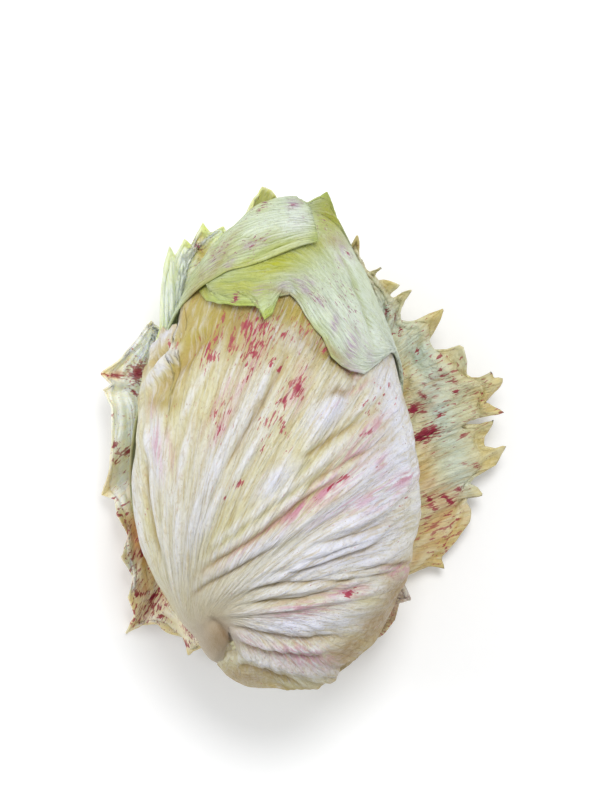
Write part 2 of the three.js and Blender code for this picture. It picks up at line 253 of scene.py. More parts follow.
# a leaf with a rib and two margins that lies under the head and spreads out on the table
def spreadLeaf(leaf):
    toothFrom = 0.8  # where the teeth begin on the way out from the rib
    toothRoot = 0.1  # how far their roots stand in from the smoothed margin
    offTable = 0.45  # the lowest that the middle of the blade lies, in mm
    steps = 401  # points along a margin
    smoothing = 41  # how many of them are smoothed together
    obj = newGrid(leaf["name"], leaf["columns"] * 2, leaf["rows"])
    grid = readPoints(obj)
    upwards = grid[:, 0] < 0.5
    across, out = np.where(upwards, 2 * grid[:, 0], 2 - 2 * grid[:, 0]), grid[:, 1]
    root = curve(leaf["rib"], across)
    fine = np.linspace(0, 1, steps)
    kernel = np.bartlett(smoothing)
    kernel /= kernel.sum()
    edges, smooths = [], []
    for side in ("left", "right"):
        edge = toothed(leaf[side], fine)
        pad = len(kernel) // 2
        padded = np.vstack([np.repeat(edge[:1], pad, 0), edge, np.repeat(edge[-1:], pad, 0)])
        smooth = np.stack([np.convolve(padded[:, k], kernel, "valid") for k in range(3)], axis=1)
        edges.append(np.stack([np.interp(across, fine, edge[:, k]) for k in range(3)], axis=1))
        smooths.append(np.stack([np.interp(across, fine, smooth[:, k]) for k in range(3)], axis=1))
    edge = np.where(upwards[:, None], *edges)
    smooth = np.where(upwards[:, None], *smooths)
    smooth = smooth + (root - smooth) * toothRoot
    inner = np.clip(out / toothFrom, 0, 1)[:, None]
    outer = np.clip((out - toothFrom) / (1 - toothFrom), 0, 1)[:, None]
    at = root + (smooth - root) * inner
    at = at + (edge - smooth) * outer ** 1.3
    relief, crest = leaf["relief"](across, out, upwards)
    at[:, 2] += leaf.get("arch", 0) * 4 * (inner * (1 - inner))[:, 0] + relief
    points = at.copy()
    points[:, 2] = np.minimum(at[:, 2], undersideOfHead(at[:, 0], at[:, 1], leaf["layer"]))
    points[:, 2] = np.maximum(points[:, 2], offTable)
    finishLeaf(obj, leaf, points, out, crest, ease(out, toothFrom - 0.1, 1))


# marks, thickness, crumples and material, and the node that the leaf stands for
def finishLeaf(obj, leaf, points, out, crest, edge):
    weldWithin = 0.00002  # metres, for points that fall together at the root or along the rib
    setPoints(obj, points)
    scaleMap(obj, *leaf["mapSize"], leaf.get("veinsAcross", False))
    # the crest map carries painted shade into the folds and a painted highlight onto the crests
    paint(obj, "crest", crest)
    paint(obj, "edge", edge)
    paint(obj, "rib", 1 - ease(out, *leaf.get("ribEnds", (0.1, 0.4))))
    for layer, key in (("pale", "pale"), ("tan", "tan"), ("stain", "stains"), ("blotch", "blotches")):
        paint(obj, layer, marks(points, leaf.get(key, [])))
    green = leaf.get("green", [])
    paint(obj, "green", green(points, out) if callable(green) else marks(points, green))
    thick = obj.vertex_groups.new(name="thick")
    share = leaf["blade"] / leaf["petiole"]
    weights = share + (1 - share) * (1 - ease(out, 0.05, 0.45))
    for index, weight in enumerate(weights):
        thick.add([index], float(weight), "REPLACE")
    deselect()
    obj.select_set(True)
    bpy.context.view_layer.objects.active = obj
    bpy.ops.object.mode_set(mode="EDIT")
    bpy.ops.mesh.select_all(action="SELECT")
    bpy.ops.mesh.remove_doubles(threshold=weldWithin)
    bpy.ops.object.mode_set(mode="OBJECT")
    if leaf.get("crumple"):
        size, height = leaf["crumple"]
        clouds = bpy.data.textures.new(leaf["name"] + "Crumple", "CLOUDS")
        clouds.noise_scale = size * 0.001
        clouds.noise_depth = 3
        modify(obj, "DISPLACE", texture=clouds, strength=height * 0.001, mid_level=0.5)
    modify(obj, "SOLIDIFY", thickness=leaf["petiole"] * 0.001, offset=0, vertex_group="thick")
    bpy.ops.object.shade_smooth()
    obj.data.materials.clear()
    obj.data.materials.append(leaf["material"])
    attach(obj, "root")
    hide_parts(leaf["node"])


def linear(hexColour):
    channels = [int(hexColour[i:i + 2], 16) / 255 for i in (1, 3, 5)]
    return [c / 12.92 if c <= 0.04045 else ((c + 0.055) / 1.055) ** 2.4 for c in channels] + [1]


# adds one node: settings are its own properties, values its unlinked sockets, links its incoming wires
def addNode(tree, kind, settings={}, values={}, links={}):
    node = tree.nodes.new(kind)
    for key, value in settings.items():
        setattr(node, key, value)
    for key, value in values.items():
        node.inputs[key].default_value = value
    for key, source in links.items():
        tree.links.new(source, node.inputs[key])
    return node


# Leaf tissue, living: waxy skin over watery flesh, so a soft satin shine and a little light inside.
# Anthocyanin shows as short crimson streaks that run along the veins, and as a pink wash in the folds.
def leafTissue(name, look):
    material = bpy.data.materials.new(name)
    material.use_nodes = True
    tree = material.node_tree
    tree.nodes.clear()
    place = addNode(tree, "ShaderNodeTexCoord")
    unwrapped = addNode(tree, "ShaderNodeUVMap", {"uv_map": "UVMap"})
    shifted = addNode(tree, "ShaderNodeMapping", {}, {"Location": (look["shift"], look["shift"] * 2.3, 0)},
                      {"Vector": unwrapped.outputs["UV"]})

    maps = {}
    for key in ("crest", "edge", "rib", "pale", "tan", "stain", "blotch", "green"):
        maps[key] = addNode(tree, "ShaderNodeAttribute", {"attribute_name": key}).outputs["Fac"]
    # even noise: its size in mm and its detail
    for key, size, detail in (("patches", 24, 4), ("clusters", 15, 2), ("grain", 2.2, 3)):
        maps[key] = addNode(tree, "ShaderNodeTexNoise", {}, {"Scale": 1000 / size, "Detail": detail},
                            {"Vector": place.outputs["Object"]}).outputs["Fac"]
    # noise stretched along the veins: its size across and along them in mm, its detail and warp
    for key, wide, long, detail, warp in (("fibres", 1.5, 15, 5, 0.7), ("mottled", 2, 4, 5, 0.9),
                                          ("streaks", 1.3, 12, 3, 0), ("dots", 0.6, 1.5, 1, 0),
                                          ("flecks", *look["fleckSize"], 5, 0)):
        stretched = addNode(tree, "ShaderNodeMapping", {}, {"Scale": (1, wide / long, 1)},
                            {"Vector": shifted.outputs["Vector"]})
        maps[key] = addNode(tree, "ShaderNodeTexNoise", {},
                            {"Scale": 1000 / wide, "Detail": detail, "Roughness": 0.55, "Distortion": warp},
                            {"Vector": stretched.outputs["Vector"]}).outputs["Fac"]
    # a few flecks lie scattered everywhere, and they crowd into ragged patches where the leaf is marked
    maps["flecks"] = addNode(tree, "ShaderNodeMath", {"operation": "MULTIPLY_ADD"}, {1: 0.26},
                             {0: maps["blotch"], 2: maps["flecks"]}).outputs[0]
    fleckRange = ("flecks", look["fleckFrom"], look["fleckFrom"] + 0.05, 0, 1)
    # colours laid over the blade, one after the other. A colour is as strong as its maps multiplied,
    # and each map has the range that is read and the strength at both ends of it.
    layers = [
        ("tone", ("patches", 0.4, 0.6, 0, look["toneShare"])),
        ("green", ("green", 0, 1, 0, 1), ("patches", 0.3, 0.6, 0.85, 1)),
        ("edge", ("edge", 0, 1, 0, 1), ("clusters", 0.35, 0.6, 0.25, 0.9), ("pale", 0, 0.8, 1, 0.1)),
        ("pale", ("pale", 0, 1, 0, 1), ("patches", 0.3, 0.62, 0.95, 0.6)),
        # painted shade and highlight: where the crest map is low the valley colour darkens the folds, and
        # where it is high the vein colour lightens the crests over the real pale veins
        ("valley", ("crest", 0, 0.45, 0.75, 0)),
        ("vein", ("crest", 0.5, 1, 0, 0.7)),
        ("vein", ("fibres", 0.5, 0.68, 0, 0.55 * look["fibre"])),
        ("valley", ("fibres", 0.46, 0.34, 0, 0.5 * look["fibre"])),
        ("valley", ("mottled", 0.5, 0.68, 0, 0.35)),
        ("pale", ("pale", 0, 1, 0, 1), ("fibres", 0.4, 0.62, 0.12, 0.6)),
        ("rib", ("rib", 0, 1, 0, 0.8)),
        ("tan", ("tan", 0, 1, 0, 1), ("mottled", 0.3, 0.65, 0.55, 0.95)),
        ("stain", ("stain", 0, 1, 0, 1), ("streaks", 0.42, 0.56, 0, 0.85)),
        ("fleck", fleckRange, ("clusters", 0.42, 0.58, 0.55, 0.9)),
        ("blotch", fleckRange, ("clusters", 0.42, 0.58, 0.55, 0.9), ("blotch", 0, 1, 0, 1)),
        ("blotch", ("blotch", 0.78, 0.97, 0, 0.8)),
        ("dot", ("dots", 0.69, 0.73, 0, 0.75), ("clusters", 0.4, 0.6, 0.2, 1)),
    ]
    colour = None
    for key, *ranges in layers:
        strength = None
        for source, low, high, start, end in ranges:
            part = addNode(tree, "ShaderNodeMapRange", {}, {1: low, 2: high, 3: start, 4: end},
                           {0: maps[source]})
            if strength is not None:
                part = addNode(tree, "ShaderNodeMath", {"operation": "MULTIPLY"}, {},
                               {0: strength, 1: part.outputs[0]})
            strength = part.outputs[0]
        below = {} if colour is None else {6: colour}
        colour = addNode(tree, "ShaderNodeMix", {"data_type": "RGBA"},
                         {6: linear(look["blade"]), 7: linear(look[key])}, {0: strength, **below}).outputs[2]
    # fine ribs, puckers and grain under the light, calmer on the thick white rib
    calm = addNode(tree, "ShaderNodeMapRange", {}, {1: 0, 2: 0.8, 3: 1.8, 4: 0.15}, {0: maps["rib"]})
    ribbed = addNode(tree, "ShaderNodeMath", {"operation": "MULTIPLY"}, {},
                     {0: maps["fibres"], 1: calm.outputs[0]})
    wrinkled = addNode(tree, "ShaderNodeMath", {"operation": "MULTIPLY_ADD"}, {1: 1.3},
                       {0: maps["mottled"], 2: ribbed.outputs[0]})
    skin = addNode(tree, "ShaderNodeMath", {"operation": "MULTIPLY_ADD"}, {1: 0.6},
                   {0: maps["grain"], 2: wrinkled.outputs[0]})
    bump = addNode(tree, "ShaderNodeBump", {}, {"Strength": look["bump"], "Distance": 0.0008},
                   {"Height": skin.outputs[0]})
    rough = addNode(tree, "ShaderNodeMapRange", {},
                    {1: 0.3, 2: 0.7, 3: look["rough"] - 0.07, 4: look["rough"] + 0.08}, {0: maps["grain"]})
    shader = addNode(tree, "ShaderNodeBsdfPrincipled", {},
                     {"IOR": 1.4, "Subsurface Weight": look["glow"], "Subsurface Radius": (0.9, 0.8, 0.4),
                      "Subsurface Scale": 0.0025},
                     {"Base Color": colour, "Roughness": rough.outputs[0], "Normal": bump.outputs[0]})
    addNode(tree, "ShaderNodeOutputMaterial", {}, {}, {"Surface": shader.outputs[0]})
    return material


creamLook = {
    "blade": "#d4cea4", "valley": "#b7a064", "tone": "#d8d3ba", "toneShare": 0.7, "vein": "#e5e5e8",
    "green": "#aa972c", "rib": "#d6c3a6", "edge": "#c9b375", "pale": "#e2e4f6", "tan": "#9a7b4c",
    "stain": "#c97f9c", "fleck": "#b04c54", "fleckFrom": 0.665, "fleckSize": (1.1, 4.8), "dot": "#a08050",
    "blotch": "#a83250", "fibre": 0.85, "bump": 0.9, "rough": 0.39, "glow": 0.1, "shift": 0.01,
}
greenLook = {
    "blade": "#c3d0a8", "valley": "#a9b467", "tone": "#c6d4b8", "toneShare": 0.8, "vein": "#dbe5c6",
    "green": "#b0b200", "rib": "#c9cdb6", "edge": "#b2c434", "pale": "#e6efe4", "tan": "#a48a60",
    "stain": "#b493b4", "fleck": "#96607a", "fleckFrom": 0.65, "fleckSize": (1.2, 4.4), "dot": "#6b6440",
    "blotch": "#a33450", "fibre": 0.6, "bump": 0.8, "rough": 0.44, "glow": 0.1, "shift": 0.13,
}
strawLook = {
    "blade": "#dccf98", "valley": "#b8a264", "tone": "#d2d6b6", "toneShare": 0.7, "vein": "#e6e2bf",
    "green": "#c99c50", "rib": "#c4ba90", "edge": "#e0cc84", "pale": "#c8dad2", "tan": "#a2814f",
    "stain": "#bd7f63", "fleck": "#a63c46", "fleckFrom": 0.63, "fleckSize": (1.15, 4.4), "dot": "#7d5038",
    "blotch": "#951f3d", "fibre": 0.8, "bump": 0.9, "rough": 0.5, "glow": 0.06, "shift": 0.31,
}
# painted light: a paler copy of the straw leaf's colours, with a bluish white and an orange of its own,
# lifted and given a lighter valley colour to brighten the crumpled left outer leaf that lies in the head's
# shade
shadeLiftedStrawLook = {
    **strawLook, "blade": "#f2e4bc", "valley": "#e4d8b4", "tone": "#f2ead2", "edge": "#e8d088",
    "green": "#d8a452", "pale": "#eaf6fa", "tan": "#cf9044", "vein": "#f4eeda",
    "fibre": 0.4, "bump": 0.5, "glow": 0.5, "shift": 0.47,
}
bruisedLook = {
    **strawLook, "blade": "#c4b08c", "valley": "#947656", "tone": "#c0ae98", "edge": "#c8b484",
    "pale": "#d2c8ca", "glow": 0.3, "shift": 0.58,
}
# painted light: a paler copy of the green leaf's colours, lifted to brighten the steep leaves on the upper
# left that lie in shade
shadedLook = {
    **greenLook, "blade": "#e6f0c4", "valley": "#d2d690", "tone": "#e6f0da", "vein": "#f2f7ec",
    "green": "#c8b250", "edge": "#dce886", "pale": "#e8f2e2", "rib": "#dadebe",
    "fibre": 0.35, "bump": 0.5, "glow": 0.5, "shift": 0.66,
}
innerLook = {**greenLook, "blade": "#d3d6b0", "valley": "#b8ba78", "green": "#bfc266", "shift": 0.74}
creamLeaf = leafTissue("creamLeafTissue", creamLook)
greenLeaf = leafTissue("greenLeafTissue", greenLook)
strawLeaf = leafTissue("strawLeafTissue", strawLook)
shadedLeaf = leafTissue("shadedLeafTissue", shadedLook)
shadeLiftedStrawLeaf = leafTissue("shadeLiftedStrawLeafTissue", shadeLiftedStrawLook)
bruisedLeaf = leafTissue("bruisedLeafTissue", bruisedLook)
innerLeafSkin = leafTissue("innerLeafTissue", innerLook)
print("materials ready")


# the big folds are drawn one by one, the finer veins between them fork and wander
def frontRelief(across, out, points):
    broad = folds(
        points, 3.6,
        [(188, 626), (178, 570), (172, 520), (169, 480), (164, 440), (160, 412)],
        [(176, 600), (152, 552), (145, 515), (142, 478), (145, 440), (146, 400)],
        [(190, 600), (215, 571), (240, 556), (262, 544), (285, 531), (312, 512), (338, 495), (364, 476),
         (392, 455)],
        [(196, 606), (230, 585), (262, 569), (290, 558), (318, 545), (342, 525), (362, 507), (388, 490),
         (414, 476)],
        [(262, 498), (280, 476), (302, 450), (314, 428), (328, 408), (348, 392)],
        [(240, 622), (270, 621), (300, 625), (322, 617), (352, 606), (382, 592), (400, 580)],
    )
    sharp = folds(
        points, 1.7,
        [(195, 566), (220, 550), (246, 534), (270, 515), (291, 499), (307, 489), (328, 476), (348, 464),
         (366, 452)],
        [(200, 552), (230, 530), (262, 506), (292, 484), (315, 466), (340, 449), (364, 430), (384, 414)],
        [(262, 505), (290, 487), (310, 470), (330, 452), (352, 436), (372, 420)],
        [(232, 590), (270, 576), (300, 563), (330, 553), (362, 541), (386, 522), (404, 504), (416, 492)],
        [(238, 600), (270, 589), (300, 585), (330, 579), (352, 570), (382, 556), (404, 541), (416, 528)],
        [(220, 613), (250, 606), (290, 602), (322, 597), (350, 592), (378, 584), (400, 572)],
        [(330, 528), (355, 520), (380, 508), (400, 490), (414, 470)],
        [(300, 552), (335, 543), (365, 534), (392, 517), (410, 500)],
        [(232, 628), (258, 639), (290, 643), (320, 645), (342, 643)],
        [(234, 642), (258, 655), (290, 664), (318, 670), (334, 670)],
        [(170, 560), (160, 520), (154, 480), (152, 440), (150, 410)],
        [(182, 560), (181, 500), (187, 450), (197, 410), (210, 378)],
        [(190, 552), (200, 505), (219, 458), (240, 420), (262, 388)],
        [(196, 548), (216, 505), (243, 465), (268, 430), (286, 402)],
        [(334, 585), (352, 577), (376, 567), (404, 556)],
        [(345, 420), (362, 404), (378, 390), (388, 372)],
        [(188, 350), (176, 357), (164, 368), (154, 380), (144, 393)],
        [(150, 556), (142, 520), (138, 486), (138, 452)],
        [(206, 500), (222, 462), (243, 424), (262, 388), (276, 350)],
        [(182, 430), (196, 396), (214, 362), (226, 334)],
        [(398, 400), (406, 430), (411, 465), (413, 500), (411, 540)],
        [(388, 395), (397, 425), (403, 460), (405, 500)],
    )
    creases = folds(
        points, 1.15,
        [(184, 341), (172, 349), (158, 360), (148, 370)],
        [(226, 470), (244, 434), (262, 404), (280, 372), (292, 346)],
        [(310, 348), (326, 353), (340, 361), (353, 376), (358, 386)],
        [(330, 398), (338, 388), (344, 396), (356, 384)],
        [(198, 572), (218, 559), (240, 546), (262, 532), (281, 517), (300, 501), (320, 487), (347, 477)],
        [(300, 494), (318, 478), (335, 469), (350, 458), (374, 447)],
        [(190, 597), (208, 582), (235, 567), (258, 554), (282, 539)],
        [(246, 587), (270, 582), (300, 580), (320, 579), (345, 577), (370, 572), (394, 572)],
        [(335, 572), (360, 567), (385, 563), (416, 563)],
        [(250, 600), (280, 598), (300, 596), (325, 590), (342, 586)],
        [(270, 567), (295, 567), (320, 562), (345, 554), (370, 545), (392, 534)],
        [(316, 541), (340, 536), (365, 531), (385, 520), (402, 508)],
        [(230, 624), (255, 627), (280, 632), (305, 636), (330, 634), (352, 636)],
        [(245, 641), (280, 651), (310, 656), (330, 654)],
        [(238, 664), (262, 668), (285, 677), (300, 682)],
        [(296, 458), (320, 446), (340, 433), (362, 418)],
        [(164, 560), (156, 520), (150, 480), (150, 440)],
    )
    grown = ease(out, 0.5, 0.72)
    lowerRight = ease(across, 0.45, 0.62) * (1 - ease(across, 0.97, 1.05))
    bend = wander(across * 4, out * 2, 12)
    second = crests(31 * across + 0.9 * bend, 1.2)
    third = crests(67 * across + 1.4 * bend + 0.4 * wander(across * 12, out * 7, 13), 1.1)
    patchy = 0.5 + 0.5 * np.clip(wander(across * 5, out * 4, 14), -1, 1)
    calm = 1 - 0.8 * marks(points, [(366, 360, 16, 10, -30, 1)])
    swell = marks(points, [(300, 356, 26, 3.2, -8, 1), (352, 374, 9, 3, -35, 1)])
    height = 2 * broad + (1.3 + 0.8 * lowerRight) * sharp - 1.9 * creases
    height = height + (0.35 + 0.35 * patchy) * second * grown + 0.35 * third * patchy * grown
    hollow = folds(points, 3.4, [(214, 328), (200, 341), (188, 356), (177, 370), (165, 386), (156, 402)])
    rolled = folds(points, 1.7, [(212, 321), (198, 334), (184, 347), (170, 359), (157, 374), (146, 391)])
    leftFlank = ease(out, 0.55, 0.8) * (1 - ease(across, 0, 0.12))
    besidePetiole = folds(points, 2, [(206, 616), (216, 622), (226, 632), (233, 645), (236, 658)])
    height = height * calm - 1.1 * swell - 3 * hollow + 1.5 * rolled - 2 * leftFlank - 2 * besidePetiole
    # the crest map paints shade into the creases and into the hollow inside the rolled left rim, and a
    # painted highlight along the ridges and the rolled rim
    crest = 0.42 + 0.5 * sharp + 0.25 * broad - 0.75 * creases + 0.25 * (second - 0.5) * grown
    return height, crest - 0.4 * hollow + 0.35 * rolled


# olive towards the upper end and in a few spots, on the side that faces up, and faintly along the margin. The
# spots are painted shade, down the hollow inside the rolled left rim and along the crease under the shoulder
# leaf's edge.
def frontGreen(points, out):
    facesUp = points[:, 2] > 40
    spots = [(164, 402, 9, 4, 0, 1), (172, 388, 14, 6, 60, 0.7), (336, 362, 15, 2, -32, 1),
             (180, 370, 13, 3.6, 48, 1), (200, 344, 9, 4.5, 40, 1)]
    return facesUp * (0.95 * ease(points[:, 1], 26, 60) + marks(points, spots)) + 0.4 * ease(out, 0.965, 1)


frontLeaf = {
    "name": "frontLeaf", "node": "front_leaf", "slot": "cream_leaf", "material": creamLeaf, "seed": 21,
    "columns": 320, "rows": 146, "neck": 0.36, "mapSize": (300, 260), "blade": 0.9, "petiole": 2.6,
    "ruffle": (15, 0.5), "edgeFrom": 0.93, "ribEnds": (0.42, 0.66), "crumple": (14, 0.9),
    "shape": [
        [(-68, -90, 0), (-63, -89, 0), (-58, -90, 0), (-53, -92, 0), (-48, -95, 0)],
        [(-52, -71, 0), (-46, -70, 0.8), (-40, -68, 1.4), (-34, -62, 0.8), (-29, -56, 0)],
        [(-55, -63, 0), (-45, -54, 0.8), (-35, -47, 1.2), (-28, -46, 0.6), (-25, -50, 0)],
        [(-84, -26, 0), (-64, -10, 0), (-46, -5, 0), (-30, -3, 0), (-17, -1, 0), (-4, -4, 0), (10, -7, 0),
         (22, -13, 0), (26, -22, 0), (22, -33, 0), (12, -42, 0), (3, -50, 0), (-5, -57, 0), (-16, -62, 0),
         (-33, -60, -1.2)],
        [(0, 0, 0)],
    ],
    "margin": [
        (-93, -8, 0, 0), (-91, 8, 0.5, 0.5), (-89, 15, 1, 0.75), (-86, 19, 2, 0.88), (-87, 22, 6, 0.94),
        (-84, 25, 3, 1), (-86, 29, 6.4, 1.08), (-82, 32, 4.4, 1.16), (-84, 37, 6.6, 1.24),
        (-78, 38, 4.2, 1.34), (-75, 42, 5.6, 1.42), (-69, 38, 3.6, 1.52), (-64, 40, 4.4, 1.6),
        (-58, 36, 3, 1.66), (-51, 34, 2.4, 1.72), (-56, 40, 3.6, 1.78), (-65, 50, 4.8, 1.84),
        (-61, 49, 4, 1.9), (-57, 54, 3.4, 1.95), (-50, 56, 2.6, 2.05), (-38, 50, 1, 2.3), (-13, 46, 0, 3),
        (14, 44, 0, 4), (42, 41, 0, 5), (64, 40, 0, 5.8), (86, 38, 0, 6.3), (104, 26, 0, 6.7),
        (112, 12, 0, 7), (114, -16, 0, 8), (84, -39, 0, 9), (64, -52, 0, 10), (46, -64, 0.5, 10.6),
        (26, -66, 1, 11), (24, -75, 1, 11.5), (15, -80, 1, 12), (-4, -77, 1.5, 13), (-9, -75, 2, 13.1),
        (-16, -79, 2.5, 13.3), (-27, -85, 3.5, 13.5), (-38, -82, 3.5, 13.75), (-42, -77, 2, 14),
    ],
    "relief": frontRelief,
    "green": frontGreen,
    # the tan marks under the shoulder leaf's lip, down the hollow at the upper left, at the crease under the
    # shoulder leaf's edge and in the hollow beside the petiole are painted shade; the browned lower flank and
    # rim are the leaf's own colour
    "tan": [(300, 634, 18, 1.2, -8, 0.4), (262, 668, 12, 1.6, -15, 0.5), (246, 676, 12, 4.5, -12, 0.9),
            (394, 594, 13, 5.5, 65, 1), (375, 623, 15, 6, 52, 1), (348, 648, 12, 4.6, 32, 1),
            (219, 638, 5, 8, 0, 0.8), (225, 632, 7, 2, -60, 1), (240, 320, 10, 4, 60, 0.6),
            (222, 338, 9, 2.4, 60, 0.4),
            (322, 346, 9, 3.4, -25, 0.45), (338, 392, 3, 2, 0, 0.6), (400, 563, 9, 1.4, 0, 0.7),
            (182, 372, 11, 1.8, 47, 0.2), (164, 402, 6, 2.4, 10, 0.3), (300, 664, 12, 3.4, -12, 0.35)],
    "pale": [(330, 410, 13, 6, 45, 1), (275, 480, 9, 4, 45, 0.9), (248, 424, 24, 8, 62, 0.4),
             (212, 476, 24, 6, 70, 0.5), (380, 480, 34, 15, 60, 0.95), (392, 400, 26, 8, 100, 0.85),
             (330, 555, 32, 12, 20, 0.9), (360, 540, 24, 16, 30, 0.9),
             (300, 622, 28, 6, 5, 0.95), (300, 660, 20, 5, -10, 0.8), (330, 510, 20, 3, 36, 0.9),
             (158, 450, 17, 4, 95, 0.7), (262, 545, 22, 4, 32, 0.7), (200, 520, 22, 5, 70, 0.5),
             # the last pale mark is a painted highlight along the crest of the rolled left rim, over its own
             # pale colour
             (290, 340, 12, 5, -20, 0.4), (162, 338, 8, 2.6, 35, 0.8), (162, 370, 9, 1, 45, 0.6)],
    "stains": [(367, 431, 9, 2.6, 42, 1), (404, 478, 9, 2.6, 30, 0.9), (298, 388, 8, 4, 80, 1),
               (372, 494, 16, 2, 34, 0.7), (352, 452, 12, 3, 40, 0.8), (342, 505, 14, 1.6, 30, 0.6),
               (328, 488, 16, 4, 36, 1), (300, 507, 14, 3.4, 38, 1),
               (268, 528, 12, 2.4, 38, 0.7), (240, 548, 14, 3, 33, 0.45),
               (380, 462, 6, 3, 80, 0.6), (345, 590, 9, 3, 10, 1),
               (300, 607, 14, 3, 8, 0.9), (300, 652, 13, 5, -12, 0.8),
               (250, 640, 9, 4, -25, 0.4), (158, 440, 14, 2, 98, 0.7),
               (173, 450, 10, 1.6, 100, 0.5), (225, 424, 9, 2.2, 60, 0.8),
               (250, 372, 12, 2.4, 60, 0.8), (222, 400, 12, 2, 62, 0.6),
               (350, 370, 6, 2.4, -35, 0.7), (385, 500, 12, 2, 35, 0.6),
               (400, 570, 8, 3, 0, 0.8), (350, 395, 9, 1.2, 35, 0.7),
               (255, 330, 9, 3, 70, 0.7)],
    "blotches": [(298, 388, 7, 3.4, 78, 1), (284, 400, 5, 2, 48, 1),
                 (268, 422, 5, 4, 60, 0.75), (283, 424, 6, 2.4, 100, 0.8),
                 (262, 445, 8, 2, 60, 0.6), (287, 452, 4.5, 0.8, 95, 1),
                 (240, 483, 2.8, 2, 40, 1), (226, 497, 2, 0.8, 50, 1),
                 (334, 483, 8, 1.2, 35, 1), (349, 591, 4, 2.2, 15, 1),
                 (233, 344, 8, 1.6, 78, 1), (247, 326, 7, 2, 72, 1),
                 (253, 355, 3, 2.4, 60, 1), (224, 322, 6, 1.4, 75, 0.9),
                 (272, 364, 4, 1.4, 60, 0.9), (280, 370, 2.4, 1.6, 60, 0.9),
                 (250, 375, 7, 1.2, 58, 0.8), (285, 335, 6, 2.4, 60, 0.6),
                 (222, 428, 6, 1.6, 60, 0.8), (172, 347, 4, 1.4, -30, 0.9),
                 (366, 432, 4, 1.4, 42, 0.9), (378, 405, 7, 2, 100, 0.6),
                 (258, 338, 16, 9, 65, 0.75), (290, 392, 16, 5, 62, 0.6), (212, 352, 12, 4, 65, 0.75),
                 (306, 330, 10, 8, 40, 0.55), (224, 410, 14, 5, 62, 0.5), (330, 350, 10, 4, -40, 0.6),
                 (402, 500, 8, 1.4, 50, 0.5), (372, 400, 12, 7, 60, 0.4)],
}
fanLeaf(frontLeaf)
print("front leaf done")


# on the shoulder the veins run side by side along the outline, from the right flank up to the lip
def shoulderRelief(across, out, points):
    ridges = folds(
        points, 1.6,
        [(340, 246), (354, 272), (368, 305), (380, 340), (388, 372)],
        [(330, 250), (345, 282), (358, 318), (368, 350)],
        [(322, 262), (336, 298), (348, 332), (358, 362)],
        [(310, 272), (322, 302), (334, 330), (346, 356)],
        [(346, 252), (362, 282), (376, 318), (389, 352)],
    )
    creases = folds(
        points, 1.2,
        [(335, 250), (350, 278), (363, 312), (374, 348)],
        [(292, 279), (300, 300), (312, 322)],
        [(221, 284), (245, 281), (268, 284)],
    )
    bend = wander(across * 4, out * 2, 31)
    veins = crests(13 * out + 0.5 * bend)
    fine = crests(46 * out + 1.1 * bend, 1.1)
    lip = marks(points, [(240, 294, 16, 5, 0, 1), (268, 300, 6, 6, 0, 1)])
    height = 0.9 * ridges - 0.9 * creases + 0.4 * veins * ease(out, 0.05, 0.3) + 0.28 * fine
    height = height + 0.55 * lip * np.sin(2 * math.pi * (22 * across + 0.5 * bend))
    return height, 0.42 + 0.4 * ridges - 0.5 * creases + 0.25 * (veins - 0.5) + 0.2 * (fine - 0.5)


